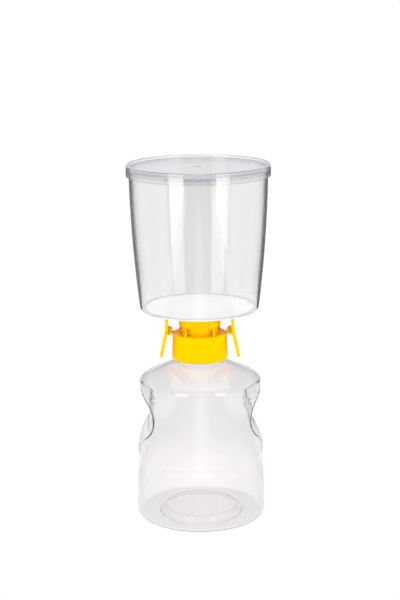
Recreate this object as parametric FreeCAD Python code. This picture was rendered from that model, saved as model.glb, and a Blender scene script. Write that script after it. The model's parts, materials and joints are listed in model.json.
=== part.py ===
import FreeCAD, Part
import math
import os

# Vacuum filtration unit: a tapered clear funnel with a rested lid stands on a screw collar,
# which closes the threaded neck of a clear receiver bottle. Liquid in the funnel is drawn
# through a membrane, over a ribbed drain plate and down a spout into the bottle, while a
# hose on the collar's nozzle pulls the air out round that spout.
# Millimetres, +Z up, origin at the centre of the bottle's foot.

Vector = FreeCAD.Vector

# ---------------------------------------------------------------- bottle
BOTTLE_WALL = 1.5
FOOT_RADIUS = 56.8              # outside of the body just above the foot
SHOULDER_RADIUS = 53.0          # outside of the body just under the shoulder
BODY_HEIGHT = 121.3             # foot to the start of the shoulder's turn
BODY_BOW = 0.9                  # how far the side bulges past a straight taper
FOOT_FILLET = 4.0
SHOULDER_FILLET = 6.0
SHOULDER_SLOPE_DEG = 25.5
PUSH_UP_HEIGHT = 5.5            # raised centre of the base
PUSH_UP_FOOT_RADIUS = 35.5
PUSH_UP_TOP_RADIUS = 31.5
NECK_RADIUS = 20.9              # outside of the neck between thread turns
NECK_BORE_RADIUS = 18.4
NECK_HEIGHT = 21.34             # above the point where the shoulder cone meets the neck
BOTTLE_TURN_DEG = 2.5           # where the grips stop when the thread is tight

# The two finger grips are valleys that run along Y across the sides of the body.
GRIP_DEPTH = 10.4               # valley's deepest line inside the radius under the shoulder
GRIP_VALLEY_RADIUS = 24.0
GRIP_TOP_GAP = 3.8              # grip's upper end below the start of the shoulder's turn
GRIP_VALLEY_DROP = 24.0         # grip's upper end to its deepest line
GRIP_LENGTH = 60.5
GRIP_EDGE_FILLET = 4.0
GRIP_OVERRUN = 0.3              # the valley's ends start this far outside the body
CREASE_SLACK = 1.0              # play in finding the grips' edges by their place

# ---------------------------------------------------------------- seal and screw collar
GASKET_THICKNESS = 1.6
GASKET_CLEARANCE = 0.3          # gasket's edges to the collar's walls
COLLAR_TOP_RADIUS = 23.5
COLLAR_BOTTOM_RADIUS = 24.6
COLLAR_SKIRT_LENGTH = 23.1
COLLAR_TOP_THICKNESS = 2.0
COLLAR_BORE_RADIUS = 22.5
COLLAR_FOOT_FILLET = 1.6
COLLAR_TOP_FILLET = 0.8
PLUG_SKIRT_WALL = 1.6           # short skirt that drops inside the bottle's neck
PLUG_SKIRT_LENGTH = 4.0
PLUG_CLEARANCE = 0.5
STEM_RADIUS = 15.8              # tube between the collar's top plate and the cup
STEM_WALL = 2.0
STEM_HEIGHT = 6.7
STEM_BEAD = 0.8                 # height and stand-out of the ring bead round the stem
STEM_BEAD_HEIGHT = 2.2          # bead above the top plate
CUP_RADIUS = 18.2               # cup that takes the funnel's spigot
CUP_WALL = 1.8
CUP_FLOOR = 2.0
CUP_HEIGHT = 11.5
GUSSET_X = 12.0                 # four upright gussets carry the cup off the top plate
GUSSET_THICKNESS = 1.8
GUSSET_FOOT_INSET = 0.6         # gusset's foot from the edge of the top plate
BACK_WEB_Y = 12.5               # web across the rear that stiffens the nozzle's root
BACK_WEB_THICKNESS = 1.8
BACK_WEB_WIDTH = 36.0

# ---------------------------------------------------------------- vacuum nozzle
NOZZLE_BORE_RADIUS = 2.4
NOZZLE_TUBE_RADIUS = 4.0
NOZZLE_BOSS_RADIUS = 5.2
NOZZLE_BOSS_LENGTH = 3.0
NOZZLE_PLAIN_LENGTH = 8.0
NOZZLE_BARB_RADIUS = 5.0
NOZZLE_TIP_RADIUS = 3.4
NOZZLE_BARB_LENGTH = 5.3
NOZZLE_BARB_LAND = 1.0          # straight stretch at each barb's crest
NOZZLE_BARB_COUNT = 3
NOZZLE_FLOOR_GAP = 0.4          # bore's lowest line above the cup's floor
WOOL_LENGTH = 12.0
WOOL_INSET = 6.0                # wool plug from the nozzle's tip

# ---------------------------------------------------------------- release levers
LEVER_TOP_THICKNESS = 2.7
LEVER_TIP_THICKNESS = 2.3
LEVER_WIDTH = 21.4
LEVER_TOP_X = 28.2              # middle of the plate at its top edge
LEVER_BEND_X = 29.6             # middle of the plate at its bend
LEVER_TIP_X = 34.0              # middle of the plate at its lower tip
LEVER_TIP_DROP = 22.3           # pivot to lower tip
LEVER_BEND_DROP = 2.4           # pivot to the bend
LEVER_TIP_CORNER = 4.0
PIVOT_X = 26.5
PIVOT_RISE = 1.5                # pivot above the collar's top plate
PIVOT_BAR_RADIUS = 1.3
PIVOT_CLEARANCE = 0.05
PIVOT_SOCKET_WALL = 1.15
PIVOT_NECK_THICKNESS = 1.2
PIVOT_MOUTH_DEG = 42.0          # half angle of the socket's mouth
EAR_WIDTH = 12.0
EAR_THICKNESS = 2.0
EAR_SLOPE_DEG = 32.0            # ear's rise from the top plate to the pivot
HOOK_WIDTH = 12.0
HOOK_THICKNESS = 1.2
HOOK_CLEARANCE = 0.2            # hook above the latch bead
HOOK_SIDE_CLEARANCE = 0.3

# ---------------------------------------------------------------- drain plate
PLATE_THICKNESS = 1.4
PLATE_RIM_WIDTH = 2.2
PLATE_CLEARANCE = 0.2           # plate's edge to the funnel's recess
DRAIN_DEPTH = 0.9               # drain floor under the membrane, at the rim
DRAIN_FALL = 2.0                # further drop of the floor to the spout
RIB_THICKNESS = 0.8
RIB_SETS = 8                    # each set is a long, a middle and two short ribs
RIB_LONG_START = 7.0            # inner ends of the ribs, from the axis
RIB_MIDDLE_START = 14.5
RIB_SHORT_START = 26.5
SEAT_WIDTH = 3.2                # flat ring that stands on the cup's rim
SEAT_STEP = 1.2                 # seat ring's height under the plate
SPIGOT_RADIUS = 15.6
SPIGOT_WALL = 2.6
SPIGOT_LENGTH = 4.0
ORING_SECTION = 2.2
ORING_CLEARANCE = 0.05          # ring's outside to the cup's wall
LATCH_RING_RADIUS = 25.3        # outside of the ring that the levers hold
LATCH_RING_WALL = 1.4
LATCH_BEAD = 1.2                # how far its bead stands out
LATCH_BEAD_HEIGHT = 1.4
LATCH_DROP = 3.7                # plate's under face to the ring's lower edge, at the ring
SPOUT_RADIUS = 4.4
SPOUT_WALL = 1.3
SPOUT_LENGTH = 35.4             # seat face to the spout's tip
SPOUT_TIP_SLANT_DEG = 30.0

# ---------------------------------------------------------------- funnel, membrane, lid
FUNNEL_WALL = 1.6
FUNNEL_HEIGHT = 122.6
FUNNEL_RIM_RADIUS = 59.8
FUNNEL_FOOT_RADIUS = 51.9       # outside, where the bottom corner starts to turn
FUNNEL_BOW = 1.6
FUNNEL_CORNER = 2.4
FUNNEL_FLOOR_THICKNESS = 1.4
RECESS_DEPTH = 1.2              # recess under the floor that takes plate and membrane
RECESS_RADIUS = 48.0
MEMBRANE_THICKNESS = 0.2
LID_RADIUS = 62.1
LID_HEIGHT = 9.8
LID_WALL = 1.5
LID_RIM_HEIGHT = 2.4            # rim above the lid's flat
LID_RIM_WIDTH = 2.2
LID_EDGE_FILLET = 1.0
LID_RING_WALL = 1.2             # ring under the lid that centres it in the funnel
LID_RING_DEPTH = 3.0
LID_RING_CLEARANCE = 0.1
GATE_RADIUS = 2.4               # mark left by the mould's gate
GATE_HEIGHT = 0.4

# ---------------------------------------------------------------- heights that follow
SHOULDER_SLOPE = math.radians(SHOULDER_SLOPE_DEG)
CONE_FOOT_RADIUS = SHOULDER_RADIUS - SHOULDER_FILLET * (1.0 - math.sin(SHOULDER_SLOPE))
CONE_FOOT_Z = BODY_HEIGHT + SHOULDER_FILLET * math.cos(SHOULDER_SLOPE)
GRIP_VALLEY_X = SHOULDER_RADIUS - GRIP_DEPTH
GRIP_HIGH_Z = BODY_HEIGHT - GRIP_TOP_GAP
GRIP_LOW_Z = GRIP_HIGH_Z - GRIP_LENGTH
GRIP_VALLEY_Z = GRIP_HIGH_Z - GRIP_VALLEY_DROP
NECK_FOOT_Z = CONE_FOOT_Z + (CONE_FOOT_RADIUS - NECK_RADIUS) * math.tan(SHOULDER_SLOPE)
NECK_RIM_Z = NECK_FOOT_Z + NECK_HEIGHT
COLLAR_CEILING_Z = NECK_RIM_Z + GASKET_THICKNESS
COLLAR_TOP_Z = COLLAR_CEILING_Z + COLLAR_TOP_THICKNESS
COLLAR_FOOT_Z = COLLAR_TOP_Z - COLLAR_SKIRT_LENGTH
CUP_FOOT_Z = COLLAR_TOP_Z + STEM_HEIGHT
CUP_BORE_RADIUS = CUP_RADIUS - CUP_WALL
SEAT_Z = CUP_FOOT_Z + CUP_HEIGHT                # cup's rim, where the drain plate stands
NOZZLE_Z = CUP_FOOT_Z + CUP_FLOOR + NOZZLE_FLOOR_GAP + NOZZLE_BORE_RADIUS
PIVOT_Z = COLLAR_TOP_Z + PIVOT_RISE
PLATE_RADIUS = RECESS_RADIUS - PLATE_CLEARANCE
DRAIN_RADIUS = PLATE_RADIUS - PLATE_RIM_WIDTH
SEAT_OUTER_RADIUS = SPIGOT_RADIUS + SEAT_WIDTH


def drain_floor_height(radius):
    """Height of the sloping drain floor above its lowest point."""
    return DRAIN_FALL * (radius - SPOUT_RADIUS) / (DRAIN_RADIUS - SPOUT_RADIUS)


PLATE_LOW_Z = SEAT_Z + SEAT_STEP - drain_floor_height(SEAT_OUTER_RADIUS)
PLATE_TOP_Z = PLATE_LOW_Z + PLATE_THICKNESS + DRAIN_FALL + DRAIN_DEPTH
MEMBRANE_TOP_Z = PLATE_TOP_Z + MEMBRANE_THICKNESS
FUNNEL_FOOT_Z = MEMBRANE_TOP_Z - RECESS_DEPTH
FUNNEL_RIM_Z = FUNNEL_FOOT_Z + FUNNEL_HEIGHT
LID_TOP_Z = FUNNEL_RIM_Z + LID_WALL + LID_RIM_HEIGHT
LATCH_FOOT_Z = PLATE_LOW_Z + drain_floor_height(LATCH_RING_RADIUS) - LATCH_DROP
HOOK_FOOT_Z = LATCH_FOOT_Z + LATCH_BEAD_HEIGHT + HOOK_CLEARANCE
LEVER_TOP_Z = HOOK_FOOT_Z + HOOK_THICKNESS


# ---------------------------------------------------------------- shared shapes
ARC_MIDDLE = 1.0 - math.sqrt(0.5)       # a rounded corner's middle from its sides, as a share of its radius
FULL_TURN = 360.0


def at(radius, height):
    """A point of a section, drawn in the XZ plane."""
    return Vector(radius, 0.0, height)


def line(start, end):
    return Part.LineSegment(start, end).toShape()


def arc(start, middle, end):
    return Part.Arc(start, middle, end).toShape()


def corner(centre, radius, first_deg, last_deg):
    """Arc about a centre in the XZ plane, from one angle to another."""
    def on_arc(degrees):
        angle = math.radians(degrees)
        return centre + Vector(radius * math.cos(angle), 0.0, radius * math.sin(angle))
    return arc(on_arc(first_deg), on_arc((first_deg + last_deg) / 2.0), on_arc(last_deg))


def chain(points):
    """Straight edges through the points, in order."""
    return [line(first, last) for first, last in zip(points, points[1:])]


def face_of(edges):
    return Part.Face(Part.Wire(Part.__sortEdges__(edges)))


def turned(edges):
    """Solid of revolution about Z."""
    return face_of(edges).revolve(Vector(0, 0, 0), Vector(0, 0, 1), FULL_TURN)


def turned_ring(points):
    """Solid of revolution of a straight-sided section."""
    return turned(chain(points + points[:1]))


def tube(outer, inner, low, high):
    return turned_ring([at(inner, low), at(outer, low), at(outer, high), at(inner, high)])


def disc(radius, low, high):
    return Part.makeCylinder(radius, high - low, at(0, low))


def along_y(edges, width):
    """Section in the XZ plane, drawn out evenly on both sides of it."""
    face = face_of(edges)
    face.translate(Vector(0, -width / 2.0, 0))
    return face.extrude(Vector(0, width, 0))


def mirrored(shape):
    return shape.mirror(Vector(0, 0, 0), Vector(1, 0, 0))


def bowed_side(foot, head, bow):
    """Arc from foot to head whose middle stands out past the straight line by bow."""
    middle = (foot + head) * 0.5 + Vector(bow, 0, 0)
    return arc(foot, middle, head)


# ---------------------------------------------------------------- bottle
def side_radius(height):
    """Outside radius of the bottle's bowed side at a height."""
    share = (height - FOOT_FILLET) / (BODY_HEIGHT - FOOT_FILLET)
    straight = FOOT_RADIUS + (SHOULDER_RADIUS - FOOT_RADIUS) * share
    return straight + 4.0 * BODY_BOW * share * (1.0 - share)


def body_section(inset, neck_radius, top_z):
    """Edges of the bottle's section, inset evenly from its outside."""
    foot_fillet = FOOT_FILLET - inset
    shoulder_fillet = SHOULDER_FILLET - inset
    foot_radius = FOOT_RADIUS - inset
    shoulder_radius = SHOULDER_RADIUS - inset
    slope_drop = inset / math.cos(SHOULDER_SLOPE)
    slope_turn = 90.0 - SHOULDER_SLOPE_DEG
    shoulder_centre = at(shoulder_radius - shoulder_fillet, BODY_HEIGHT)
    cone_foot = shoulder_centre + Vector(shoulder_fillet * math.sin(SHOULDER_SLOPE), 0,
                                         shoulder_fillet * math.cos(SHOULDER_SLOPE))
    neck_foot = at(neck_radius, NECK_FOOT_Z - slope_drop
                   + (NECK_RADIUS - neck_radius) * math.tan(SHOULDER_SLOPE))
    floor = [at(0, PUSH_UP_HEIGHT + inset), at(PUSH_UP_TOP_RADIUS, PUSH_UP_HEIGHT + inset),
             at(PUSH_UP_FOOT_RADIUS + inset, inset), at(foot_radius - foot_fillet, inset)]
    return (chain(floor)
            + [corner(at(foot_radius - foot_fillet, FOOT_FILLET), foot_fillet, -90.0, 0.0),
               bowed_side(at(foot_radius, FOOT_FILLET), at(shoulder_radius, BODY_HEIGHT), BODY_BOW),
               corner(shoulder_centre, shoulder_fillet, 0.0, slope_turn)]
            + chain([cone_foot, neck_foot, at(neck_radius, top_z), at(0, top_z), floor[0]]))


def grip_valley(inset):
    """Tool that cuts one finger grip, on the +X side; inset moves it towards the axis."""
    low = at(side_radius(GRIP_LOW_Z) + GRIP_OVERRUN, GRIP_LOW_Z)
    high = at(side_radius(GRIP_HIGH_Z) + GRIP_OVERRUN, GRIP_HIGH_Z)
    valley_centre = at(GRIP_VALLEY_X + GRIP_VALLEY_RADIUS, GRIP_VALLEY_Z)
    edges = []
    ends = []
    for end, sign in ((low, 1.0), (high, -1.0)):
        depth = end.x - GRIP_VALLEY_X
        rise = abs(GRIP_VALLEY_Z - end.z)
        both_radii = (depth ** 2 + rise ** 2) / (2.0 * depth)
        shoulder = both_radii - GRIP_VALLEY_RADIUS
        centre = end - Vector(shoulder, 0, 0)
        turn = sign * math.degrees(math.asin(rise / both_radii))
        edges.append(corner(centre, shoulder - inset, 0.0, turn))
        ends.append((end - Vector(inset, 0, 0), turn))
    edges.append(corner(valley_centre, GRIP_VALLEY_RADIUS + inset, 180.0 + ends[0][1],
                        180.0 + ends[1][1]))
    outside = 2.0 * FOOT_RADIUS
    edges += chain([ends[0][0], at(outside, GRIP_LOW_Z), at(outside, GRIP_HIGH_Z), ends[1][0]])
    return along_y(edges, 4.0 * FOOT_RADIUS)


def with_grips(body, inset):
    """Body with both grips cut."""
    valley = grip_valley(inset)
    return body.cut(valley).cut(mirrored(valley))


def is_crease(edge):
    """True for an edge where a grip meets the bottle's turned outside."""
    box = edge.BoundBox
    in_height = box.ZMin > GRIP_LOW_Z - CREASE_SLACK and box.ZMax < CONE_FOOT_Z + CREASE_SLACK
    beside_axis = box.XMin > 0.0 or box.XMax < 0.0
    return in_height and beside_axis and box.XLength > CREASE_SLACK and box.ZLength > CREASE_SLACK


def make_bottle():
    outside = turned(body_section(0.0, NECK_RADIUS, NECK_RIM_Z))
    inside = turned(body_section(BOTTLE_WALL, NECK_BORE_RADIUS, NECK_RIM_Z + 1.0))
    outside = with_grips(outside, 0.0)
    outside = outside.makeFillet(GRIP_EDGE_FILLET, [edge for edge in outside.Edges if is_crease(edge)])
    bottle = outside.cut(with_grips(inside, BOTTLE_WALL))
    bottle.rotate(Vector(0, 0, 0), Vector(0, 0, 1), BOTTLE_TURN_DEG)
    return bottle


# ---------------------------------------------------------------- screw collar
def make_gasket():
    """Flat sealing ring between the neck's rim and the collar's top plate."""
    inner = NECK_BORE_RADIUS - PLUG_CLEARANCE + GASKET_CLEARANCE
    outer = COLLAR_BORE_RADIUS - GASKET_CLEARANCE
    return tube(outer, inner, NECK_RIM_Z, COLLAR_CEILING_Z)


def collar_skirt():
    """Tapered skirt, top plate and the short skirt that plugs the bottle's neck."""
    foot = COLLAR_FOOT_FILLET
    top = COLLAR_TOP_FILLET
    plug_outer = NECK_BORE_RADIUS - PLUG_CLEARANCE
    plug_inner = plug_outer - PLUG_SKIRT_WALL
    stem_bore = STEM_RADIUS - STEM_WALL
    taper = (COLLAR_BOTTOM_RADIUS - COLLAR_TOP_RADIUS) / COLLAR_SKIRT_LENGTH
    inside = [at(COLLAR_BOTTOM_RADIUS - foot, COLLAR_FOOT_Z), at(COLLAR_BORE_RADIUS, COLLAR_FOOT_Z),
              at(COLLAR_BORE_RADIUS, COLLAR_CEILING_Z), at(plug_outer, COLLAR_CEILING_Z),
              at(plug_outer, COLLAR_CEILING_Z - PLUG_SKIRT_LENGTH),
              at(plug_inner, COLLAR_CEILING_Z - PLUG_SKIRT_LENGTH), at(plug_inner, COLLAR_CEILING_Z),
              at(stem_bore, COLLAR_CEILING_Z), at(stem_bore, COLLAR_TOP_Z),
              at(COLLAR_TOP_RADIUS - top, COLLAR_TOP_Z)]
    side_top = at(COLLAR_TOP_RADIUS + taper * top, COLLAR_TOP_Z - top)
    side_foot = at(COLLAR_BOTTOM_RADIUS - taper * foot, COLLAR_FOOT_Z + foot)
    top_middle = at(COLLAR_TOP_RADIUS - ARC_MIDDLE * top, COLLAR_TOP_Z - ARC_MIDDLE * top)
    foot_middle = at(COLLAR_BOTTOM_RADIUS - ARC_MIDDLE * foot, COLLAR_FOOT_Z + ARC_MIDDLE * foot)
    return turned(chain(inside) + [arc(inside[-1], top_middle, side_top), line(side_top, side_foot),
                                   arc(side_foot, foot_middle, inside[0])])


def stem_and_cup():
    """Tube from the top plate up to the cup that takes the funnel's spigot."""
    bore = STEM_RADIUS - STEM_WALL
    bead_z = COLLAR_TOP_Z + STEM_BEAD_HEIGHT
    stem = tube(STEM_RADIUS, bore, COLLAR_TOP_Z - COLLAR_TOP_THICKNESS, CUP_FOOT_Z + CUP_FLOOR)
    bead = turned_ring([at(STEM_RADIUS - STEM_BEAD, bead_z - STEM_BEAD),
                        at(STEM_RADIUS, bead_z - STEM_BEAD), at(STEM_RADIUS + STEM_BEAD, bead_z),
                        at(STEM_RADIUS, bead_z + STEM_BEAD),
                        at(STEM_RADIUS - STEM_BEAD, bead_z + STEM_BEAD)])
    cup_floor = tube(CUP_RADIUS, bore, CUP_FOOT_Z, CUP_FOOT_Z + CUP_FLOOR)
    cup_wall = tube(CUP_RADIUS, CUP_BORE_RADIUS, CUP_FOOT_Z, SEAT_Z)
    return [stem, bead, cup_floor, cup_wall]


def gussets():
    """Upright webs, two at the front and two at the rear, under the cup's edge."""
    foot_reach = math.sqrt((COLLAR_TOP_RADIUS - GUSSET_FOOT_INSET) ** 2 - GUSSET_X ** 2)
    head_reach = math.sqrt(CUP_RADIUS ** 2 - GUSSET_X ** 2)
    root_reach = math.sqrt((STEM_RADIUS - STEM_WALL / 2.0) ** 2 - GUSSET_X ** 2)
    low = COLLAR_TOP_Z - COLLAR_TOP_THICKNESS / 2.0
    high = CUP_FOOT_Z + CUP_FLOOR / 2.0
    webs = []
    for x in (-GUSSET_X, GUSSET_X):
        for side in (-1.0, 1.0):
            section = [Vector(x, side * root_reach, low), Vector(x, side * foot_reach, low),
                       Vector(x, side * foot_reach, COLLAR_TOP_Z),
                       Vector(x, side * head_reach, CUP_FOOT_Z),
                       Vector(x, side * head_reach, high), Vector(x, side * root_reach, high)]
            web = face_of(chain(section + section[:1]))
            web.translate(Vector(-GUSSET_THICKNESS / 2.0, 0, 0))
            webs.append(web.extrude(Vector(GUSSET_THICKNESS, 0, 0)))
    return webs


def back_web():
    """Upright web across the rear of the stem, under the hose nozzle."""
    half_width = BACK_WEB_WIDTH / 2.0
    low = COLLAR_TOP_Z - COLLAR_TOP_THICKNESS / 2.0
    return Part.makeBox(BACK_WEB_WIDTH, BACK_WEB_THICKNESS, CUP_FOOT_Z + CUP_FLOOR / 2.0 - low,
                        Vector(-half_width, BACK_WEB_Y - BACK_WEB_THICKNESS / 2.0, low))


def ear():
    """Ear that rises from the +X edge of the top plate to the round bar that a lever turns on."""
    slope = math.radians(EAR_SLOPE_DEG)
    along = Vector(math.cos(slope), 0, math.sin(slope))
    across = Vector(-math.sin(slope), 0, math.cos(slope))
    pivot = at(PIVOT_X, PIVOT_Z)
    half_neck = PIVOT_NECK_THICKNESS / 2.0
    root = pivot - along * ((PIVOT_X - COLLAR_BORE_RADIUS) / math.cos(slope))
    shoulder = pivot - along * (PIVOT_BAR_RADIUS + PIVOT_CLEARANCE + PIVOT_SOCKET_WALL + half_neck)
    under = root - across * (EAR_THICKNESS - half_neck)
    outline = [root + across * half_neck, pivot + across * half_neck, pivot - across * half_neck,
               shoulder - across * half_neck, under, root + across * half_neck]
    bar = Part.makeCylinder(PIVOT_BAR_RADIUS, EAR_WIDTH, Vector(PIVOT_X, -EAR_WIDTH / 2.0, PIVOT_Z),
                            Vector(0, 1, 0))
    inside = disc(COLLAR_BORE_RADIUS, COLLAR_FOOT_Z, COLLAR_CEILING_Z)
    return along_y(chain(outline), EAR_WIDTH).fuse(bar).cut(inside)


def nozzle_section():
    """Outline of the hose nozzle: radius against distance from the collar's axis."""
    root = CUP_BORE_RADIUS + CUP_WALL / 2.0
    boss_end = CUP_RADIUS + NOZZLE_BOSS_LENGTH
    plain_end = boss_end + NOZZLE_PLAIN_LENGTH
    outline = [(0.0, root), (NOZZLE_BOSS_RADIUS, root), (NOZZLE_BOSS_RADIUS, boss_end),
               (NOZZLE_TUBE_RADIUS, boss_end), (NOZZLE_TUBE_RADIUS, plain_end)]
    for barb in range(NOZZLE_BARB_COUNT):
        start = plain_end + barb * NOZZLE_BARB_LENGTH
        foot = NOZZLE_TIP_RADIUS if barb == NOZZLE_BARB_COUNT - 1 else NOZZLE_TUBE_RADIUS
        outline += [(NOZZLE_BARB_RADIUS, start), (NOZZLE_BARB_RADIUS, start + NOZZLE_BARB_LAND),
                    (foot, start + NOZZLE_BARB_LENGTH)]
    return outline + [(0.0, outline[-1][1])]


def nozzle_tip_y():
    return nozzle_section()[-1][1]


def nozzle_solid():
    """Barbed tube that stands out to the rear of the cup, without its bore."""
    points = [Vector(0, reach, NOZZLE_Z + radius) for radius, reach in nozzle_section()]
    return face_of(chain(points + points[:1])).revolve(Vector(0, 0, NOZZLE_Z), Vector(0, 1, 0), FULL_TURN)


def make_screw_collar():
    right_ear = ear()
    pieces = stem_and_cup() + gussets()
    pieces += [back_web(), right_ear, mirrored(right_ear), nozzle_solid()]
    collar = collar_skirt().fuse(pieces)
    start = CUP_BORE_RADIUS - CUP_WALL
    bore = Part.makeCylinder(NOZZLE_BORE_RADIUS, nozzle_tip_y() - start + 1.0,
                             Vector(0, start, NOZZLE_Z), Vector(0, 1, 0))
    return collar.cut(bore).removeSplitter()


def make_nozzle_wool():
    """Plug of cotton wool that keeps the nozzle's air clean."""
    start = nozzle_tip_y() - WOOL_INSET - WOOL_LENGTH
    return Part.makeCylinder(NOZZLE_BORE_RADIUS, WOOL_LENGTH, Vector(0, start, NOZZLE_Z), Vector(0, 1, 0))


# ---------------------------------------------------------------- release levers
def lever_plate():
    """Bent plate: a short arm up to the hook and a flared arm down to the finger tip."""
    top_half = LEVER_TOP_THICKNESS / 2.0
    tip_half = LEVER_TIP_THICKNESS / 2.0
    middle = [(at(LEVER_TOP_X, LEVER_TOP_Z), top_half),
              (at(LEVER_BEND_X, PIVOT_Z - LEVER_BEND_DROP), (top_half + tip_half) / 2.0),
              (at(LEVER_TIP_X, PIVOT_Z - LEVER_TIP_DROP), tip_half)]
    outline = [point - Vector(half, 0, 0) for point, half in middle]
    outline += [point + Vector(half, 0, 0) for point, half in reversed(middle)]
    plate = along_y(chain(outline + outline[:1]), LEVER_WIDTH)
    corners = [edge for edge in plate.Edges if edge.BoundBox.YLength < 0.01
               and edge.BoundBox.ZLength < 0.01]
    return plate.makeFillet(LEVER_TIP_CORNER, corners)


def lever_socket():
    """Block on the plate's inner face, bored to snap over the ear's bar."""
    outer = PIVOT_BAR_RADIUS + PIVOT_CLEARANCE + PIVOT_SOCKET_WALL
    start = Vector(PIVOT_X, -EAR_WIDTH / 2.0, PIVOT_Z)
    barrel = Part.makeCylinder(outer, EAR_WIDTH, start, Vector(0, 1, 0))
    flare = outer + PIVOT_SOCKET_WALL
    plate_x = LEVER_BEND_X
    web = along_y(chain([at(PIVOT_X, PIVOT_Z - outer), at(plate_x, PIVOT_Z - outer),
                         at(plate_x, PIVOT_Z + flare), at(PIVOT_X, PIVOT_Z + outer),
                         at(PIVOT_X, PIVOT_Z - outer)]), EAR_WIDTH)
    return barrel.fuse(web)


def socket_cut():
    """Bore of the socket, and the mouth that clears the ear as the lever swings."""
    bore = Part.makeCylinder(PIVOT_BAR_RADIUS + PIVOT_CLEARANCE, EAR_WIDTH,
                             Vector(PIVOT_X, -EAR_WIDTH / 2.0, PIVOT_Z), Vector(0, 1, 0))
    reach = 3.0 * PIVOT_BAR_RADIUS
    opening = reach * math.tan(math.radians(PIVOT_MOUTH_DEG))
    mouth = along_y(chain([at(PIVOT_X, PIVOT_Z), at(PIVOT_X - reach, PIVOT_Z + opening),
                           at(PIVOT_X - reach, PIVOT_Z - opening), at(PIVOT_X, PIVOT_Z)]), EAR_WIDTH)
    mouth.rotate(at(PIVOT_X, PIVOT_Z), Vector(0, 1, 0), -EAR_SLOPE_DEG)
    return bore.fuse(mouth)


def lever_hook():
    """Inward lip at the top of the plate that holds the latch bead."""
    tooth_x = LATCH_RING_RADIUS + HOOK_SIDE_CLEARANCE
    return along_y(chain([at(tooth_x, HOOK_FOOT_Z), at(LEVER_TOP_X, HOOK_FOOT_Z),
                          at(LEVER_TOP_X, LEVER_TOP_Z), at(tooth_x, LEVER_TOP_Z),
                          at(tooth_x, HOOK_FOOT_Z)]), HOOK_WIDTH)


def make_right_lever():
    lever = lever_plate().fuse([lever_socket(), lever_hook()])
    return lever.cut(socket_cut()).removeSplitter()


def make_left_lever():
    return mirrored(make_right_lever())


# ---------------------------------------------------------------- drain plate and its ring
def plate_under_z(radius):
    """Height of the drain plate's sloping under face."""
    return PLATE_LOW_Z + drain_floor_height(radius)


def plate_body():
    """Shallow cone with a flat rim, a seat ring and a ring that the levers hold."""
    spigot_bore = SPIGOT_RADIUS - SPIGOT_WALL
    ring_bore = LATCH_RING_RADIUS - LATCH_RING_WALL
    bead = LATCH_RING_RADIUS + LATCH_BEAD
    bead_top = LATCH_FOOT_Z + LATCH_BEAD_HEIGHT
    groove = SPIGOT_RADIUS - (ORING_SECTION - (CUP_BORE_RADIUS - ORING_CLEARANCE - SPIGOT_RADIUS))
    groove_low = SEAT_Z - SPIGOT_LENGTH / 2.0 - ORING_SECTION / 2.0
    groove_high = groove_low + ORING_SECTION
    under = [at(0, plate_under_z(SPOUT_RADIUS)), at(SPOUT_RADIUS, plate_under_z(SPOUT_RADIUS)),
             at(spigot_bore, plate_under_z(spigot_bore)), at(spigot_bore, SEAT_Z - SPIGOT_LENGTH),
             at(SPIGOT_RADIUS, SEAT_Z - SPIGOT_LENGTH), at(SPIGOT_RADIUS, groove_low),
             at(groove, groove_low), at(groove, groove_high), at(SPIGOT_RADIUS, groove_high),
             at(SPIGOT_RADIUS, SEAT_Z), at(SEAT_OUTER_RADIUS, SEAT_Z),
             at(SEAT_OUTER_RADIUS, plate_under_z(SEAT_OUTER_RADIUS)),
             at(ring_bore, plate_under_z(ring_bore)), at(ring_bore, LATCH_FOOT_Z),
             at(bead, LATCH_FOOT_Z), at(bead, bead_top), at(LATCH_RING_RADIUS, bead_top),
             at(LATCH_RING_RADIUS, plate_under_z(LATCH_RING_RADIUS)),
             at(DRAIN_RADIUS, plate_under_z(DRAIN_RADIUS)), at(PLATE_RADIUS, PLATE_TOP_Z - PLATE_THICKNESS),
             at(PLATE_RADIUS, PLATE_TOP_Z), at(DRAIN_RADIUS, PLATE_TOP_Z)]
    floor = [at(DRAIN_RADIUS, PLATE_TOP_Z - DRAIN_DEPTH),
             at(SPOUT_RADIUS, PLATE_TOP_Z - DRAIN_DEPTH - DRAIN_FALL),
             at(0, PLATE_TOP_Z - DRAIN_DEPTH - DRAIN_FALL)]
    return turned_ring(under + floor)


def drain_ribs():
    """Radial ribs that hold the membrane up, with the drain channels between them."""
    set_turn = FULL_TURN / RIB_SETS
    starts = {0.0: RIB_LONG_START, 0.25: RIB_SHORT_START, 0.5: RIB_MIDDLE_START, 0.75: RIB_SHORT_START}
    low = PLATE_LOW_Z + PLATE_THICKNESS / 2.0
    end = DRAIN_RADIUS + PLATE_RIM_WIDTH / 2.0
    ribs = []
    for index in range(RIB_SETS):
        for share, start in starts.items():
            length = end - start
            rib = Part.makeBox(length, RIB_THICKNESS, PLATE_TOP_Z - low,
                               Vector(start, -RIB_THICKNESS / 2.0, low))
            rib.rotate(Vector(0, 0, 0), Vector(0, 0, 1), (index + share) * set_turn)
            ribs.append(rib)
    return ribs


def under_plate():
    """Space under the drain plate, to trim what is added on its top."""
    low = PLATE_LOW_Z - PLATE_THICKNESS
    return turned_ring([at(0, low), at(PLATE_RADIUS, low), at(PLATE_RADIUS, PLATE_TOP_Z - PLATE_THICKNESS),
                        at(DRAIN_RADIUS, plate_under_z(DRAIN_RADIUS)),
                        at(SPOUT_RADIUS, plate_under_z(SPOUT_RADIUS)), at(0, plate_under_z(SPOUT_RADIUS))])


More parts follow.
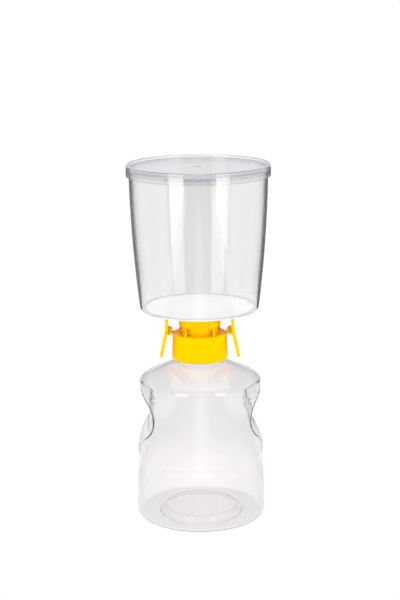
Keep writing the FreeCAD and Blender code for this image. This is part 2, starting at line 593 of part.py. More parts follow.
def make_drain_plate():
    ribs = [rib.cut(under_plate()) for rib in drain_ribs()]
    tip_z = SEAT_Z - SPOUT_LENGTH
    bore = SPOUT_RADIUS - SPOUT_WALL
    spout = disc(SPOUT_RADIUS, tip_z, PLATE_LOW_Z + PLATE_THICKNESS / 2.0)
    slant = Part.makeBox(8.0 * SPOUT_RADIUS, 8.0 * SPOUT_RADIUS, 4.0 * SPOUT_RADIUS,
                         Vector(-SPOUT_RADIUS, -4.0 * SPOUT_RADIUS, tip_z - 4.0 * SPOUT_RADIUS))
    slant.rotate(at(-SPOUT_RADIUS, tip_z), Vector(0, 1, 0), -SPOUT_TIP_SLANT_DEG)
    plate = plate_body().fuse(ribs + [spout.cut(slant)])
    return plate.cut(disc(bore, tip_z - 1.0, PLATE_TOP_Z + 1.0)).removeSplitter()


def make_spigot_oring():
    outer = CUP_BORE_RADIUS - ORING_CLEARANCE
    section = ORING_SECTION / 2.0
    return Part.makeTorus(outer - section, section, at(0, SEAT_Z - SPIGOT_LENGTH / 2.0))


def make_membrane():
    return disc(PLATE_RADIUS, PLATE_TOP_Z, MEMBRANE_TOP_Z)


# ---------------------------------------------------------------- funnel and lid
def funnel_wall(inset):
    """The funnel's bowed side and rounded bottom corner, from the rim down."""
    head = at(FUNNEL_RIM_RADIUS - inset, FUNNEL_RIM_Z)
    side_foot = at(FUNNEL_FOOT_RADIUS - inset, FUNNEL_FOOT_Z + FUNNEL_CORNER)
    radius = FUNNEL_CORNER - inset
    centre = at(FUNNEL_FOOT_RADIUS - FUNNEL_CORNER, FUNNEL_FOOT_Z + FUNNEL_CORNER)
    return [bowed_side(side_foot, head, FUNNEL_BOW), corner(centre, radius, 0.0, -90.0)]


def make_funnel():
    outside = funnel_wall(0.0)
    inside = funnel_wall(FUNNEL_WALL)
    floor_bore = DRAIN_RADIUS
    ceiling = FUNNEL_FOOT_Z + RECESS_DEPTH
    floor_top = ceiling + FUNNEL_FLOOR_THICKNESS
    inner_corner = at(FUNNEL_FOOT_RADIUS - FUNNEL_CORNER, FUNNEL_FOOT_Z + FUNNEL_WALL)
    outer_corner = at(FUNNEL_FOOT_RADIUS - FUNNEL_CORNER, FUNNEL_FOOT_Z)
    rim = line(at(FUNNEL_RIM_RADIUS - FUNNEL_WALL, FUNNEL_RIM_Z), at(FUNNEL_RIM_RADIUS, FUNNEL_RIM_Z))
    wall = turned(outside + inside + [rim, line(inner_corner, outer_corner)])
    floor = tube(FUNNEL_FOOT_RADIUS - FUNNEL_WALL, floor_bore, FUNNEL_FOOT_Z, floor_top)
    keep = turned(funnel_wall(0.0) + chain([at(FUNNEL_RIM_RADIUS, FUNNEL_RIM_Z), at(0, FUNNEL_RIM_Z),
                                            at(0, FUNNEL_FOOT_Z), outer_corner]))
    recess = disc(RECESS_RADIUS, FUNNEL_FOOT_Z - 1.0, ceiling)
    return wall.fuse(floor.common(keep)).cut(recess).removeSplitter()


def make_lid():
    """Flat lid with a raised rim, a skirt outside the funnel and a centring ring inside it."""
    flat_z = LID_TOP_Z - LID_RIM_HEIGHT
    under_z = FUNNEL_RIM_Z
    foot_z = LID_TOP_Z - LID_HEIGHT
    rim_inner = LID_RADIUS - LID_RIM_WIDTH
    ring_outer = FUNNEL_RIM_RADIUS - FUNNEL_WALL - LID_RING_CLEARANCE
    ring_inner = ring_outer - LID_RING_WALL
    skirt_inner = LID_RADIUS - LID_WALL
    fillet = LID_EDGE_FILLET
    outline = [at(0, flat_z), at(rim_inner, flat_z), at(rim_inner, LID_TOP_Z),
               at(LID_RADIUS - fillet, LID_TOP_Z)]
    lower = [at(LID_RADIUS, LID_TOP_Z - fillet), at(LID_RADIUS, foot_z), at(skirt_inner, foot_z),
             at(skirt_inner, under_z), at(ring_outer, under_z), at(ring_outer, under_z - LID_RING_DEPTH),
             at(ring_inner, under_z - LID_RING_DEPTH), at(ring_inner, under_z), at(0, under_z), outline[0]]
    edge = corner(at(LID_RADIUS - fillet, LID_TOP_Z - fillet), fillet, 90.0, 0.0)
    lid = turned(chain(outline) + [edge] + chain(lower))
    return lid.fuse(disc(GATE_RADIUS, under_z, flat_z + GATE_HEIGHT)).removeSplitter()


PARTS = {
    "bottle": make_bottle,
    "neck_gasket": make_gasket,
    "screw_collar": make_screw_collar,
    "nozzle_wool_plug": make_nozzle_wool,
    "release_lever_left": make_left_lever,
    "release_lever_right": make_right_lever,
    "drain_plate": make_drain_plate,
    "spigot_o_ring": make_spigot_oring,
    "membrane": make_membrane,
    "funnel": make_funnel,
    "lid": make_lid,
}

os.makedirs("parts", exist_ok=True)
for node, make in PARTS.items():
    shape = make()
    shape.exportStep("parts/" + node + ".step")
    print(node, "solids", len(shape.Solids), "valid", shape.isValid(), "volume", round(shape.Volume, 1))
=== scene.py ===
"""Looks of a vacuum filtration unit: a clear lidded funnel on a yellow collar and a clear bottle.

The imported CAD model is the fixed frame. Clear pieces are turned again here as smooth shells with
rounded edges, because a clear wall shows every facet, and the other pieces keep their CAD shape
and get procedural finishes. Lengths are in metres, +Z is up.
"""

import json
import logging
import math
from dataclasses import dataclass, field
from enum import Enum
from typing import ClassVar

import bmesh
import bpy
import numpy as np
from mathutils import Matrix, Vector

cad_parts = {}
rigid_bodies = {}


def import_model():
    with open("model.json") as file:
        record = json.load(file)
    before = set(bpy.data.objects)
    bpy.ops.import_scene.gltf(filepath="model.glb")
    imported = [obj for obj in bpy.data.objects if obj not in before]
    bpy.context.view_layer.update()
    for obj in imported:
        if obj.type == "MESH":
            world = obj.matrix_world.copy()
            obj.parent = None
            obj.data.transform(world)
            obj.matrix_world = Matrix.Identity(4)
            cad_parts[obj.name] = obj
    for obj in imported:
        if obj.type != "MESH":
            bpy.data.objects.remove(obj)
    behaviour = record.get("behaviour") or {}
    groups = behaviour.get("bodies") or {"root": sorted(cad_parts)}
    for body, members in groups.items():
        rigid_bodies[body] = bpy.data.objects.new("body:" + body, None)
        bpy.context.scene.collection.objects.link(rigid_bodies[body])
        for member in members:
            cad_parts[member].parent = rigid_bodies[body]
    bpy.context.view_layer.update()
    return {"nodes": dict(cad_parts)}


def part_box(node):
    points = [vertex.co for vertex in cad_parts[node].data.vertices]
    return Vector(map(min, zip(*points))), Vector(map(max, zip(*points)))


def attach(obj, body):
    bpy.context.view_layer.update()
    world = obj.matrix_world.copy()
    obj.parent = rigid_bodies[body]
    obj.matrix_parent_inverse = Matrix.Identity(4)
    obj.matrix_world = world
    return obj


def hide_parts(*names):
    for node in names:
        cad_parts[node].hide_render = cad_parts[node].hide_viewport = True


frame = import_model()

MM = 0.001
WELD = 2e-6  # points of a turned wall that are closer than this are one
log = logging.getLogger("vacuum_filtration_unit")

Point = tuple[float, float]
Span = tuple[float, float]
Colour = tuple[float, float, float]


class Slot(Enum):
    """Material slots of the record."""

    CLEAR = "clear_plastic"
    YELLOW = "yellow_plastic"
    WHITE = "white_plastic"
    MEMBRANE = "membrane_white"
    SEAL = "seal_rubber"
    WOOL = "cotton_wool"


class Body(Enum):
    """Bodies of the model that the turned pieces ride on."""

    BOTTLE = "bottle"
    FUNNEL = "funnel_unit"


CAD_PIECES: dict[str, Slot] = {
    "screw_collar": Slot.YELLOW,
    "release_lever_left": Slot.YELLOW,
    "release_lever_right": Slot.YELLOW,
    "drain_plate": Slot.WHITE,
    "membrane": Slot.MEMBRANE,
    "neck_gasket": Slot.SEAL,
    "spigot_o_ring": Slot.SEAL,
    "nozzle_wool_plug": Slot.WOOL,
}


# ---------------------------------------------------------------- node helpers
class Nodes:
    """Short way to add and join the nodes of one tree."""

    def __init__(self, tree: bpy.types.NodeTree) -> None:
        """Keeps the tree that nodes are added to."""
        self.tree = tree

    def add(self, kind: str, **settings: object) -> bpy.types.Node:
        """Adds a node.

        Args:
            kind: Blender's type name of the node.
            settings: properties of the node, or values of its inputs by position as i0, i1.

        Returns:
            The new node.
        """
        node = self.tree.nodes.new(kind)
        for name, value in settings.items():
            if name[0] == "i" and name[1:].isdigit():
                self.feed(node.inputs[int(name[1:])], value)
            else:
                setattr(node, name, value)
        return node

    def feed(self, socket: bpy.types.NodeSocket, value: object) -> None:
        """Joins another socket to this one, or sets its plain value.

        Args:
            socket: the input to feed.
            value: a socket to join to it, or its plain value.
        """
        if isinstance(value, bpy.types.NodeSocket):
            self.tree.links.new(value, socket)
        else:
            socket.default_value = value

    def math(self, operation: str, *values: object) -> bpy.types.NodeSocket:
        """Adds a Math node and returns its result.

        Args:
            operation: Blender's name of the operation.
            values: sockets or numbers, in the order of the inputs.

        Returns:
            The result.
        """
        node = self.add("ShaderNodeMath", operation=operation)
        for socket, value in zip(node.inputs, values):
            self.feed(socket, value)
        return node.outputs[0]

    def ramp(self, value: object, low: object, high: object, start: object = 0.0,
             end: object = 1.0) -> bpy.types.NodeSocket:
        """Smooth step from start to end as value goes from low to high.

        Args:
            value: what goes from low to high.
            low: where the step starts.
            high: where the step ends.
            start: result up to low.
            end: result from high on.

        Returns:
            The result.
        """
        node = self.add("ShaderNodeMapRange", interpolation_type="SMOOTHSTEP")
        for socket, given in zip(node.inputs, (value, low, high, start, end)):
            self.feed(socket, given)
        return node.outputs[0]

    def between(self, share: object, first: object, second: object) -> bpy.types.NodeSocket:
        """Number mixed from first to second by share.

        Args:
            share: zero for the first number, one for the second.
            first: first number.
            second: second number.

        Returns:
            The mixed number.
        """
        node = self.add("ShaderNodeMix", data_type="FLOAT")
        for socket, given in zip(node.inputs[:1] + node.inputs[2:4], (share, first, second)):
            self.feed(socket, given)
        return node.outputs[0]

    def blend(self, share: object, first: object, second: object) -> bpy.types.NodeSocket:
        """Colour mixed from first to second by share.

        Args:
            share: zero for the first colour, one for the second.
            first: first colour.
            second: second colour.

        Returns:
            The mixed colour.
        """
        node = self.add("ShaderNodeMix", data_type="RGBA")
        colours = [socket for socket in node.inputs if socket.type == "RGBA"]
        self.feed(node.inputs[0], share)
        self.feed(colours[0], first)
        self.feed(colours[1], second)
        return next(socket for socket in node.outputs if socket.type == "RGBA")


def rgba(colour: Colour) -> tuple[float, float, float, float]:
    """Colour with full alpha."""
    return (*colour, 1.0)


def new_group(name: str, inputs: dict[str, tuple[str, object]],
              outputs: dict[str, str]) -> tuple[Nodes, bpy.types.Node, bpy.types.Node]:
    """Makes an empty shader node group.

    Args:
        name: the group's name.
        inputs: socket type and default by name.
        outputs: socket type by name.

    Returns:
        The tree's helper, its input node and its output node.
    """
    tree = bpy.data.node_groups.new(name, "ShaderNodeTree")
    for label, (kind, default) in inputs.items():
        socket = tree.interface.new_socket(label, in_out="INPUT", socket_type=kind)
        socket.default_value = default
    for label, kind in outputs.items():
        tree.interface.new_socket(label, in_out="OUTPUT", socket_type=kind)
    nodes = Nodes(tree)
    return nodes, nodes.add("NodeGroupInput"), nodes.add("NodeGroupOutput")


class SurfaceEffects:
    """Shader node groups that several finishes share."""

    FLOAT = "NodeSocketFloat"
    COLOUR = "NodeSocketColor"
    GRAIN_SPREAD = (0.3, 0.7)
    TONE_SPREAD = (0.35, 0.65)

    def __init__(self) -> None:
        """Builds each group once."""
        self.flow = self._flow()
        self.grain = self._grain()
        self.tone = self._tone()

    def _noise(self, nodes: Nodes, place: bpy.types.NodeSocket, scale: object,
               detail: float) -> bpy.types.NodeSocket:
        """Adds a noise texture.

        Args:
            nodes: the tree's helper.
            place: where the texture is read.
            scale: how fine it is.
            detail: how many finer layers it has.

        Returns:
            The noise, from zero to one.
        """
        noise = nodes.add("ShaderNodeTexNoise", noise_dimensions="3D")
        noise.inputs["Detail"].default_value = detail
        nodes.feed(noise.inputs["Vector"], place)
        nodes.feed(noise.inputs["Scale"], scale)
        return noise.outputs[0]

    def _flow(self) -> bpy.types.NodeTree:
        """Long, faint waves that molten plastic leaves in a moulded wall.

        Returns:
            The group.
        """
        nodes, given, out = new_group(
            "moulding_flow",
            {"Length": (self.FLOAT, 0.03), "Stretch": (self.FLOAT, 3.0)},
            {"Height": self.FLOAT})
        place = nodes.add("ShaderNodeTexCoord").outputs["Object"]
        stretch = nodes.add("ShaderNodeCombineXYZ")
        across = nodes.math("DIVIDE", 1.0, given.outputs["Length"])
        nodes.feed(stretch.inputs[0], across)
        nodes.feed(stretch.inputs[1], across)
        nodes.feed(stretch.inputs[2], nodes.math("DIVIDE", across, given.outputs["Stretch"]))
        scaled = nodes.add("ShaderNodeVectorMath", operation="MULTIPLY", i0=place,
                           i1=stretch.outputs[0])
        noise = self._noise(nodes, scaled.outputs[0], scale=1.0, detail=1.5)
        nodes.feed(out.inputs["Height"], noise)
        return nodes.tree

    def _grain(self) -> bpy.types.NodeTree:
        """Fine even grain, as of a matt mould or a pressed sheet.

        Returns:
            The group.
        """
        nodes, given, out = new_group(
            "fine_grain",
            {"Size": (self.FLOAT, 0.0005), "Rough Low": (self.FLOAT, 0.3),
             "Rough High": (self.FLOAT, 0.4)},
            {"Height": self.FLOAT, "Roughness": self.FLOAT})
        place = nodes.add("ShaderNodeTexCoord").outputs["Object"]
        scale = nodes.math("DIVIDE", 1.0, given.outputs["Size"])
        noise = self._noise(nodes, place, scale, detail=3.0)
        nodes.feed(out.inputs["Height"], noise)
        nodes.feed(out.inputs["Roughness"],
                   nodes.ramp(noise, *self.GRAIN_SPREAD, given.outputs["Rough Low"],
                              given.outputs["Rough High"]))
        return nodes.tree

    def _tone(self) -> bpy.types.NodeTree:
        """Slow drift between two close colours over a moulding.

        Returns:
            The group.
        """
        nodes, given, out = new_group(
            "colour_drift",
            {"First": (self.COLOUR, (1, 1, 1, 1)), "Second": (self.COLOUR, (1, 1, 1, 1)),
             "Size": (self.FLOAT, 0.02)},
            {"Colour": self.COLOUR})
        place = nodes.add("ShaderNodeTexCoord").outputs["Object"]
        scale = nodes.math("DIVIDE", 1.0, given.outputs["Size"])
        noise = self._noise(nodes, place, scale, detail=2.0)
        share = nodes.ramp(noise, *self.TONE_SPREAD)
        nodes.feed(out.inputs["Colour"],
                   nodes.blend(share, given.outputs["First"], given.outputs["Second"]))
        return nodes.tree


# ---------------------------------------------------------------- finishes
@dataclass(frozen=True)
class Finish:
    """A surface finish, built once into a material."""

    name: str

    def start(self) -> tuple[Nodes, bpy.types.Node, bpy.types.Node]:
        """Makes the material's empty tree.

        Returns:
            The tree's helper, its Principled BSDF and its output node.
        """
        material = bpy.data.materials.new(self.name)
        material.use_nodes = True
        nodes = Nodes(material.node_tree)
        shader = material.node_tree.nodes["Principled BSDF"]
        return nodes, shader, material.node_tree.nodes["Material Output"]

    def group(self, nodes: Nodes, tree: bpy.types.NodeTree, **values: object) -> bpy.types.Node:
        """Places a shared group with its own values, named with _ for a space.

        Args:
            nodes: the tree's helper.
            tree: the group to place.
            values: its inputs by name, with _ for a space.

        Returns:
            The group's node.
        """
        node = nodes.add("ShaderNodeGroup", node_tree=tree)
        for name, value in values.items():
            node.inputs[name.replace("_", " ")].default_value = value
        return node

    def bump(self, nodes: Nodes, height: bpy.types.NodeSocket, strength: float,
             distance: float) -> bpy.types.NodeSocket:
        """Turns a height into a normal.

        Args:
            nodes: the tree's helper.
            height: the height over the surface.
            strength: share of the bump that is used.
            distance: height in metres that one stands for.

        Returns:
            The normal.
        """
        node = nodes.add("ShaderNodeBump")
        node.inputs["Strength"].default_value = strength
        node.inputs["Distance"].default_value = distance
        nodes.feed(node.inputs["Height"], height)
        return node.outputs["Normal"]


@dataclass(frozen=True)
class ClearPlastic(Finish):
    """Clear polished plastic with painted shade on its walls where they are seen edge on."""

    tint: Colour = (0.93, 0.93, 0.933)
    # colour of the painted shade where a wall is seen edge on, and how tightly it keeps to the edge
    painted_edge_tint: Colour = (0.15, 0.15, 0.16)
    painted_edge_power: float = 8.0
    # band of heights where the painted edge shade is full, how fast it fades out, and its share
    # outside the band
    painted_edge_band: tuple[float, float] | None = None
    painted_edge_band_fade: float = 4.0 * MM
    painted_edge_share_off_band: float = 1.0
    ior: float = 1.57
    roughness: float = 0.02
    wave_length: float = 0.035
    wave_height: float = 0.02 * MM
    shade: Colour = (0.98, 0.98, 0.98)
    guide_bounces: float = 2.5
    guide_tint: Colour = (0.9, 0.89, 0.93)

    def painted_edge_band_share(self, nodes: Nodes) -> bpy.types.NodeSocket | float:
        """One between the two heights of the band where the painted edge shade is full, and zero
        elsewhere.

        Args:
            nodes: the tree's helper.

        Returns:
            The share.
        """
        if self.painted_edge_band is None:
            return 0.0
        low, high = self.painted_edge_band
        place = nodes.add("ShaderNodeTexCoord").outputs["Object"]
        height = nodes.add("ShaderNodeSeparateXYZ", i0=place).outputs[2]
        rise = nodes.ramp(height, low - self.painted_edge_band_fade, low)
        fall = nodes.ramp(height, high, high + self.painted_edge_band_fade, 1.0, 0.0)
        return nodes.math("MULTIPLY", rise, fall)

    def build(self, effects: SurfaceEffects) -> bpy.types.Material:
        """Builds the material.

        Args:
            effects: the shared node groups.

        Returns:
            The material.
        """
        nodes, shader, out = self.start()
        painted_edge_band = self.painted_edge_band_share(nodes)
        # Painted shade: the base colour turns towards the edge colour where the wall is seen edge
        # on.
        view = nodes.add("ShaderNodeLayerWeight")
        view.inputs["Blend"].default_value = 0.5
        edge = nodes.math("POWER", view.outputs["Facing"], self.painted_edge_power)
        edge = nodes.math("MULTIPLY", edge, nodes.between(painted_edge_band, self.painted_edge_share_off_band, 1.0))
        nodes.feed(shader.inputs["Base Color"],
                   nodes.blend(edge, rgba(self.tint), rgba(self.painted_edge_tint)))
        shader.inputs["Roughness"].default_value = self.roughness
        shader.inputs["IOR"].default_value = self.ior
        shader.inputs["Transmission Weight"].default_value = 1.0
        flow = self.group(nodes, effects.flow, Length=self.wave_length)
        nodes.feed(shader.inputs["Normal"],
                   self.bump(nodes, flow.outputs["Height"], 1.0, self.wave_height))
        light = nodes.add("ShaderNodeLightPath")
        shadow = light.outputs["Is Shadow Ray"]
        guided = nodes.math("GREATER_THAN", light.outputs["Glossy Depth"], self.guide_bounces)
        # Rays mirrored in the wall more often than guide_bounces pass straight through, tinted by
        # the guide tint, and in the band by the edge tint, which is painted shade.
        guided_or_painted_edge_tint = nodes.blend(painted_edge_band, rgba(self.guide_tint), rgba(self.painted_edge_tint))
        clear = nodes.add("ShaderNodeBsdfTransparent",
                          i0=nodes.blend(shadow, guided_or_painted_edge_tint, rgba(self.shade)))
        mix = nodes.add("ShaderNodeMixShader", i0=nodes.math("MAXIMUM", shadow, guided),
                        i1=shader.outputs[0], i2=clear.outputs[0])
        nodes.feed(out.inputs["Surface"], mix.outputs[0])
        return bpy.data.materials[self.name]


@dataclass(frozen=True)
class LidPlastic(ClearPlastic):
    """Clear plastic of a flat moulding, with faint violet painted shade where its walls are seen
    edge on and a violet tint on light mirrored along its wall.
    """

    tint: Colour = (0.87, 0.865, 0.875)
    painted_edge_tint: Colour = (0.5, 0.47, 0.56)
    guide_tint: Colour = (0.86, 0.84, 0.94)


@dataclass(frozen=True)
class BlownPlastic(ClearPlastic):
    """Clear plastic of a blown wall, wavy, with painted shade strongest where its walls round the
    grips are seen edge on.
    """

    tint: Colour = (0.955, 0.94, 0.948)
    painted_edge_tint: Colour = (0.06, 0.06, 0.065)
    # band round the grips where the painted edge shade is full, and its share elsewhere
    painted_edge_band: tuple[float, float] | None = (60.0 * MM, 114.0 * MM)
    painted_edge_share_off_band: float = 0.1
    wave_height: float = 0.05 * MM
    guide_bounces: float = 1.5


@dataclass(frozen=True)
class MouldedPlastic(Finish):
    """Opaque moulded plastic that lets a little light in under its skin."""

    first: Colour = (1.0, 0.51, 0.0)
    second: Colour = (1.0, 0.48, 0.0)
    drift: float = 20.0 * MM
    roughness: tuple[float, float] = (0.3, 0.36)
    grain: float = 0.6 * MM
    grain_height: float = 0.004 * MM
    inner_light: float = 1.0
    inner_reach: Colour = (1.0, 0.4, 0.02)
    inner_depth: float = 4.0 * MM
    gloss: Colour = (1.0, 0.8, 0.1)
    gloss_level: float = 0.08
    ior: float = 1.5

    def build(self, effects: SurfaceEffects) -> bpy.types.Material:
        """Builds the material.

        Args:
            effects: the shared node groups.

        Returns:
            The material.
        """
        nodes, shader, _ = self.start()
        drift = self.group(nodes, effects.tone, First=rgba(self.first), Second=rgba(self.second),
                           Size=self.drift)
        grain = self.group(nodes, effects.grain, Size=self.grain, Rough_Low=self.roughness[0],
                           Rough_High=self.roughness[1])
        nodes.feed(shader.inputs["Base Color"], drift.outputs["Colour"])
        nodes.feed(shader.inputs["Roughness"], grain.outputs["Roughness"])
        nodes.feed(shader.inputs["Normal"],
                   self.bump(nodes, grain.outputs["Height"], 1.0, self.grain_height))
        shader.inputs["IOR"].default_value = self.ior
        shader.inputs["Subsurface Weight"].default_value = self.inner_light
        shader.inputs["Subsurface Radius"].default_value = self.inner_reach
        shader.inputs["Subsurface Scale"].default_value = self.inner_depth
        shader.inputs["Specular Tint"].default_value = rgba(self.gloss)
        shader.inputs["Specular IOR Level"].default_value = self.gloss_level
        return bpy.data.materials[self.name]


@dataclass(frozen=True)
class WhitePlastic(MouldedPlastic):
    """Plain white moulded plastic."""

    first: Colour = (0.9, 0.9, 0.9)
    second: Colour = (0.87, 0.87, 0.88)
    inner_light: float = 0.0
    gloss: Colour = (1.0, 1.0, 1.0)
    gloss_level: float = 0.5


@dataclass(frozen=True)
class MembraneSheet(WhitePlastic):
    """Matt white filter sheet."""

    first: Colour = (0.98, 0.98, 0.98)
    second: Colour = (0.96, 0.96, 0.96)
    gloss_level: float = 0.1


@dataclass(frozen=True)
class SealRubber(MouldedPlastic):
    """Soft translucent silicone with a dusty, slightly uneven skin."""

    first: Colour = (0.72, 0.71, 0.68)
    second: Colour = (0.62, 0.61, 0.58)
    drift: float = 8.0 * MM
    roughness: tuple[float, float] = (0.5, 0.62)
    grain: float = 0.4 * MM
    grain_height: float = 0.01 * MM
    inner_light: float = 0.6
    inner_reach: Colour = (1.0, 0.95, 0.85)
    inner_depth: float = 1.2 * MM
    gloss: Colour = (1.0, 1.0, 1.0)
    gloss_level: float = 0.5


@dataclass(frozen=True)
class CottonWool(Finish):
    """Matt white fibre with soft hollows between its strands, darkened with painted shade."""

    strand: Colour = (0.94, 0.94, 0.92)
    hollow_painted_shade: Colour = (0.74, 0.74, 0.71)
    strand_width: float = 0.35 * MM
    strand_spread: tuple[float, float] = (0.3, 0.6)
    depth: float = 0.2 * MM
    roughness: tuple[float, float] = (0.9, 1.0)
    sheen: float = 0.4
    gloss_level: float = 0.1

    def build(self, effects: SurfaceEffects) -> bpy.types.Material:
        """Builds the material.

        Args:
            effects: the shared node groups.

        Returns:
            The material.
        """
        nodes, shader, _ = self.start()
        grain = self.group(nodes, effects.grain, Size=self.strand_width,
                           Rough_Low=self.roughness[0], Rough_High=self.roughness[1])
        # Painted shade: the lower the grain, the darker the colour, as in the shade between
        # strands.
        share = nodes.ramp(grain.outputs["Height"], *self.strand_spread)
        nodes.feed(shader.inputs["Base Color"],
                   nodes.blend(share, rgba(self.hollow_painted_shade), rgba(self.strand)))
        nodes.feed(shader.inputs["Roughness"], grain.outputs["Roughness"])
        nodes.feed(shader.inputs["Normal"],
                   self.bump(nodes, grain.outputs["Height"], 1.0, self.depth))
        shader.inputs["Sheen Weight"].default_value = self.sheen
        shader.inputs["Specular IOR Level"].default_value = self.gloss_level
        return bpy.data.materials[self.name]


# ---------------------------------------------------------------- shapes
def arc_points(centre: Point, radius: float, first: float, last: float, steps: int) -> list[Point]:
    """Points on an arc of a section, both ends included, with angles in radians.

    Args:
        centre: middle of the arc.
        radius: its radius.
        first: angle where it starts.
        last: angle where it ends.
        steps: how many straight steps stand for it.

    Returns:
        The points.
    """
    angles = [first + (last - first) * step / steps for step in range(steps + 1)]
    return [(centre[0] + radius * math.cos(angle), centre[1] + radius * math.sin(angle))
            for angle in angles]


@dataclass
class Section:
    """Closed outline of a turned wall in the XZ plane, with its corners rounded."""

    steps: int = 4
    corners: list[tuple[float, float, float]] = field(default_factory=list)

    def to(self, radius: float, height: float, rounding: float = 0.0) -> "Section":
        """Adds a corner and returns the section."""
        self.corners.append((radius, height, rounding))
        return self

    def through(self, points: list[Point]) -> "Section":
        """Adds points of a curve and returns the section.

        Args:
            points: the points, in order.

        Returns:
            The section.
        """
        for radius, height in points:
            self.to(radius, height)
        return self

    def points(self) -> list[Point]:
        """Outline's points in order, with an arc at each rounded corner.

        Returns:
            The points.
        """
        count = len(self.corners)
        found: list[Point] = []
        for index, (radius, height, rounding) in enumerate(self.corners):
            if rounding <= 0.0:
                found.append((radius, height))
                continue
            before = self.corners[index - 1]
            after = self.corners[(index + 1) % count]
            found += self._rounded((before[0], before[1]), (radius, height), (after[0], after[1]),
                                   rounding)
        return found

    def _rounded(self, before: Point, corner: Point, after: Point, rounding: float) -> list[Point]:
        """Arc that replaces a corner.

        Args:
            before: the corner before it.
            corner: the corner.
            after: the corner after it.
            rounding: radius of the arc.

        Returns:
            The arc's points.
        """
        tip = np.array(corner)
        back = np.array(before) - tip
        ahead = np.array(after) - tip
        back = back / np.linalg.norm(back)
        ahead = ahead / np.linalg.norm(ahead)
        half = math.acos(float(np.clip(back @ ahead, -1.0, 1.0))) / 2.0
        reach = rounding / math.tan(half)
        middle = back + ahead
        centre = tip + middle / np.linalg.norm(middle) * rounding / math.sin(half)
        start = tip + back * reach - centre
        end = tip + ahead * reach - centre
        first = math.atan2(start[1], start[0])
        turn = math.atan2(end[1], end[0]) - first
        turn = (turn + math.pi) % (2.0 * math.pi) - math.pi
        return arc_points((float(centre[0]), float(centre[1])), rounding, first, first + turn,
                          self.steps)


def bowed(foot: Point, head: Point, bow: float, steps: int) -> list[Point]:
    """Points from foot to head on a side that bulges by bow, both ends included.

    Args:
        foot: lower end of the side.
        head: upper end of the side.
        bow: how far its middle stands out.
        steps: how many straight steps stand for it.

    Returns:
        The points.
    """
    found = []
    for step in range(steps + 1):
        share = step / steps
        radius = foot[0] + (head[0] - foot[0]) * share + 4.0 * bow * share * (1.0 - share)
        found.append((radius, foot[1] + (head[1] - foot[1]) * share))
    return found


class TurningTree:
    """Geometry Nodes tree that turns a section about Z into a closed, welded shell."""

    def __init__(self) -> None:
        """Builds the tree and remembers its inputs' identifiers."""
        self.tree = bpy.data.node_groups.new("turned_wall", "GeometryNodeTree")
        face = self.tree.interface
        face.new_socket("Section", in_out="INPUT", socket_type="NodeSocketGeometry")
        self.ids: dict[str, str] = {}
        for name, kind in (("Section Points", "NodeSocketInt"), ("Segments", "NodeSocketInt"),
                           ("Weld", "NodeSocketFloat"), ("Finish", "NodeSocketMaterial")):
            self.ids[name] = face.new_socket(name, in_out="INPUT", socket_type=kind).identifier
        face.new_socket("Wall", in_out="OUTPUT", socket_type="NodeSocketGeometry")
        self._fill(Nodes(self.tree))

    def _fill(self, nodes: Nodes) -> None:
        """Adds the nodes: a grid whose rows are copies of the section, each turned a step further.

        Args:
            nodes: the tree's helper.
        """
        given = nodes.add("NodeGroupInput")
        count, segments = given.outputs["Section Points"], given.outputs["Segments"]
        across = nodes.math("ADD", segments, 1.0)
        grid = nodes.add("GeometryNodeMeshGrid")
        nodes.feed(grid.inputs["Vertices X"], nodes.math("ADD", count, 1.0))
        nodes.feed(grid.inputs["Vertices Y"], across)
        index = nodes.add("GeometryNodeInputIndex").outputs[0]
        row = nodes.math("FLOOR", nodes.math("DIVIDE", nodes.math("ADD", index, 0.5), across))
        column = nodes.math("SUBTRACT", index, nodes.math("MULTIPLY", row, across))
        wrapped = nodes.math("MODULO", row, count)
        sample = nodes.add("GeometryNodeSampleIndex", data_type="FLOAT_VECTOR", domain="POINT")
        nodes.feed(sample.inputs["Geometry"], given.outputs["Section"])
        place = nodes.add("GeometryNodeInputPosition").outputs[0]
        nodes.feed(next(s for s in sample.inputs if s.name == "Value" and s.enabled), place)
        nodes.feed(sample.inputs["Index"], wrapped)
        value = next(s for s in sample.outputs if s.enabled)
        angle = nodes.math("DIVIDE", nodes.math("MULTIPLY", column, 2.0 * math.pi), segments)
        turn = nodes.add("ShaderNodeVectorRotate", rotation_type="Z_AXIS")
        nodes.feed(turn.inputs["Vector"], value)
        nodes.feed(turn.inputs["Angle"], angle)
        moved = nodes.add("GeometryNodeSetPosition")
        nodes.feed(moved.inputs["Geometry"], grid.outputs["Mesh"])
        nodes.feed(moved.inputs["Position"], turn.outputs[0])
        weld = nodes.add("GeometryNodeMergeByDistance")
        nodes.feed(weld.inputs["Geometry"], moved.outputs[0])
        nodes.feed(weld.inputs["Distance"], given.outputs["Weld"])
        whole = nodes.add("GeometryNodeRealizeInstances")
        nodes.feed(whole.inputs[0], weld.outputs[0])
        dress = nodes.add("GeometryNodeSetMaterial")
        nodes.feed(dress.inputs["Geometry"], whole.outputs[0])
        nodes.feed(dress.inputs["Material"], given.outputs["Finish"])
        nodes.feed(nodes.add("NodeGroupOutput").inputs[0], dress.outputs[0])

    def turn(self, name: str, points: list[Point], segments: int,
             material: bpy.types.Material) -> bpy.types.Object:
        """Turns a section into a piece.

        Args:
            name: the piece's name.
            points: the section, in order round the wall.
            segments: how many steps make the full turn.
            material: the piece's finish.

        Returns:
            The piece, as a plain mesh at the origin.
        """
        source = bpy.data.meshes.new(name + "_section")
        source.from_pydata([(radius, 0.0, height) for radius, height in points], [], [])
        piece = bpy.data.objects.new(name, source)
        bpy.context.scene.collection.objects.link(piece)
        modifier = piece.modifiers.new("turned", "NODES")
        modifier.node_group = self.tree
        modifier[self.ids["Section Points"]] = len(points)
        modifier[self.ids["Segments"]] = segments
        modifier[self.ids["Weld"]] = WELD
        modifier[self.ids["Finish"]] = material
        return settle(piece)


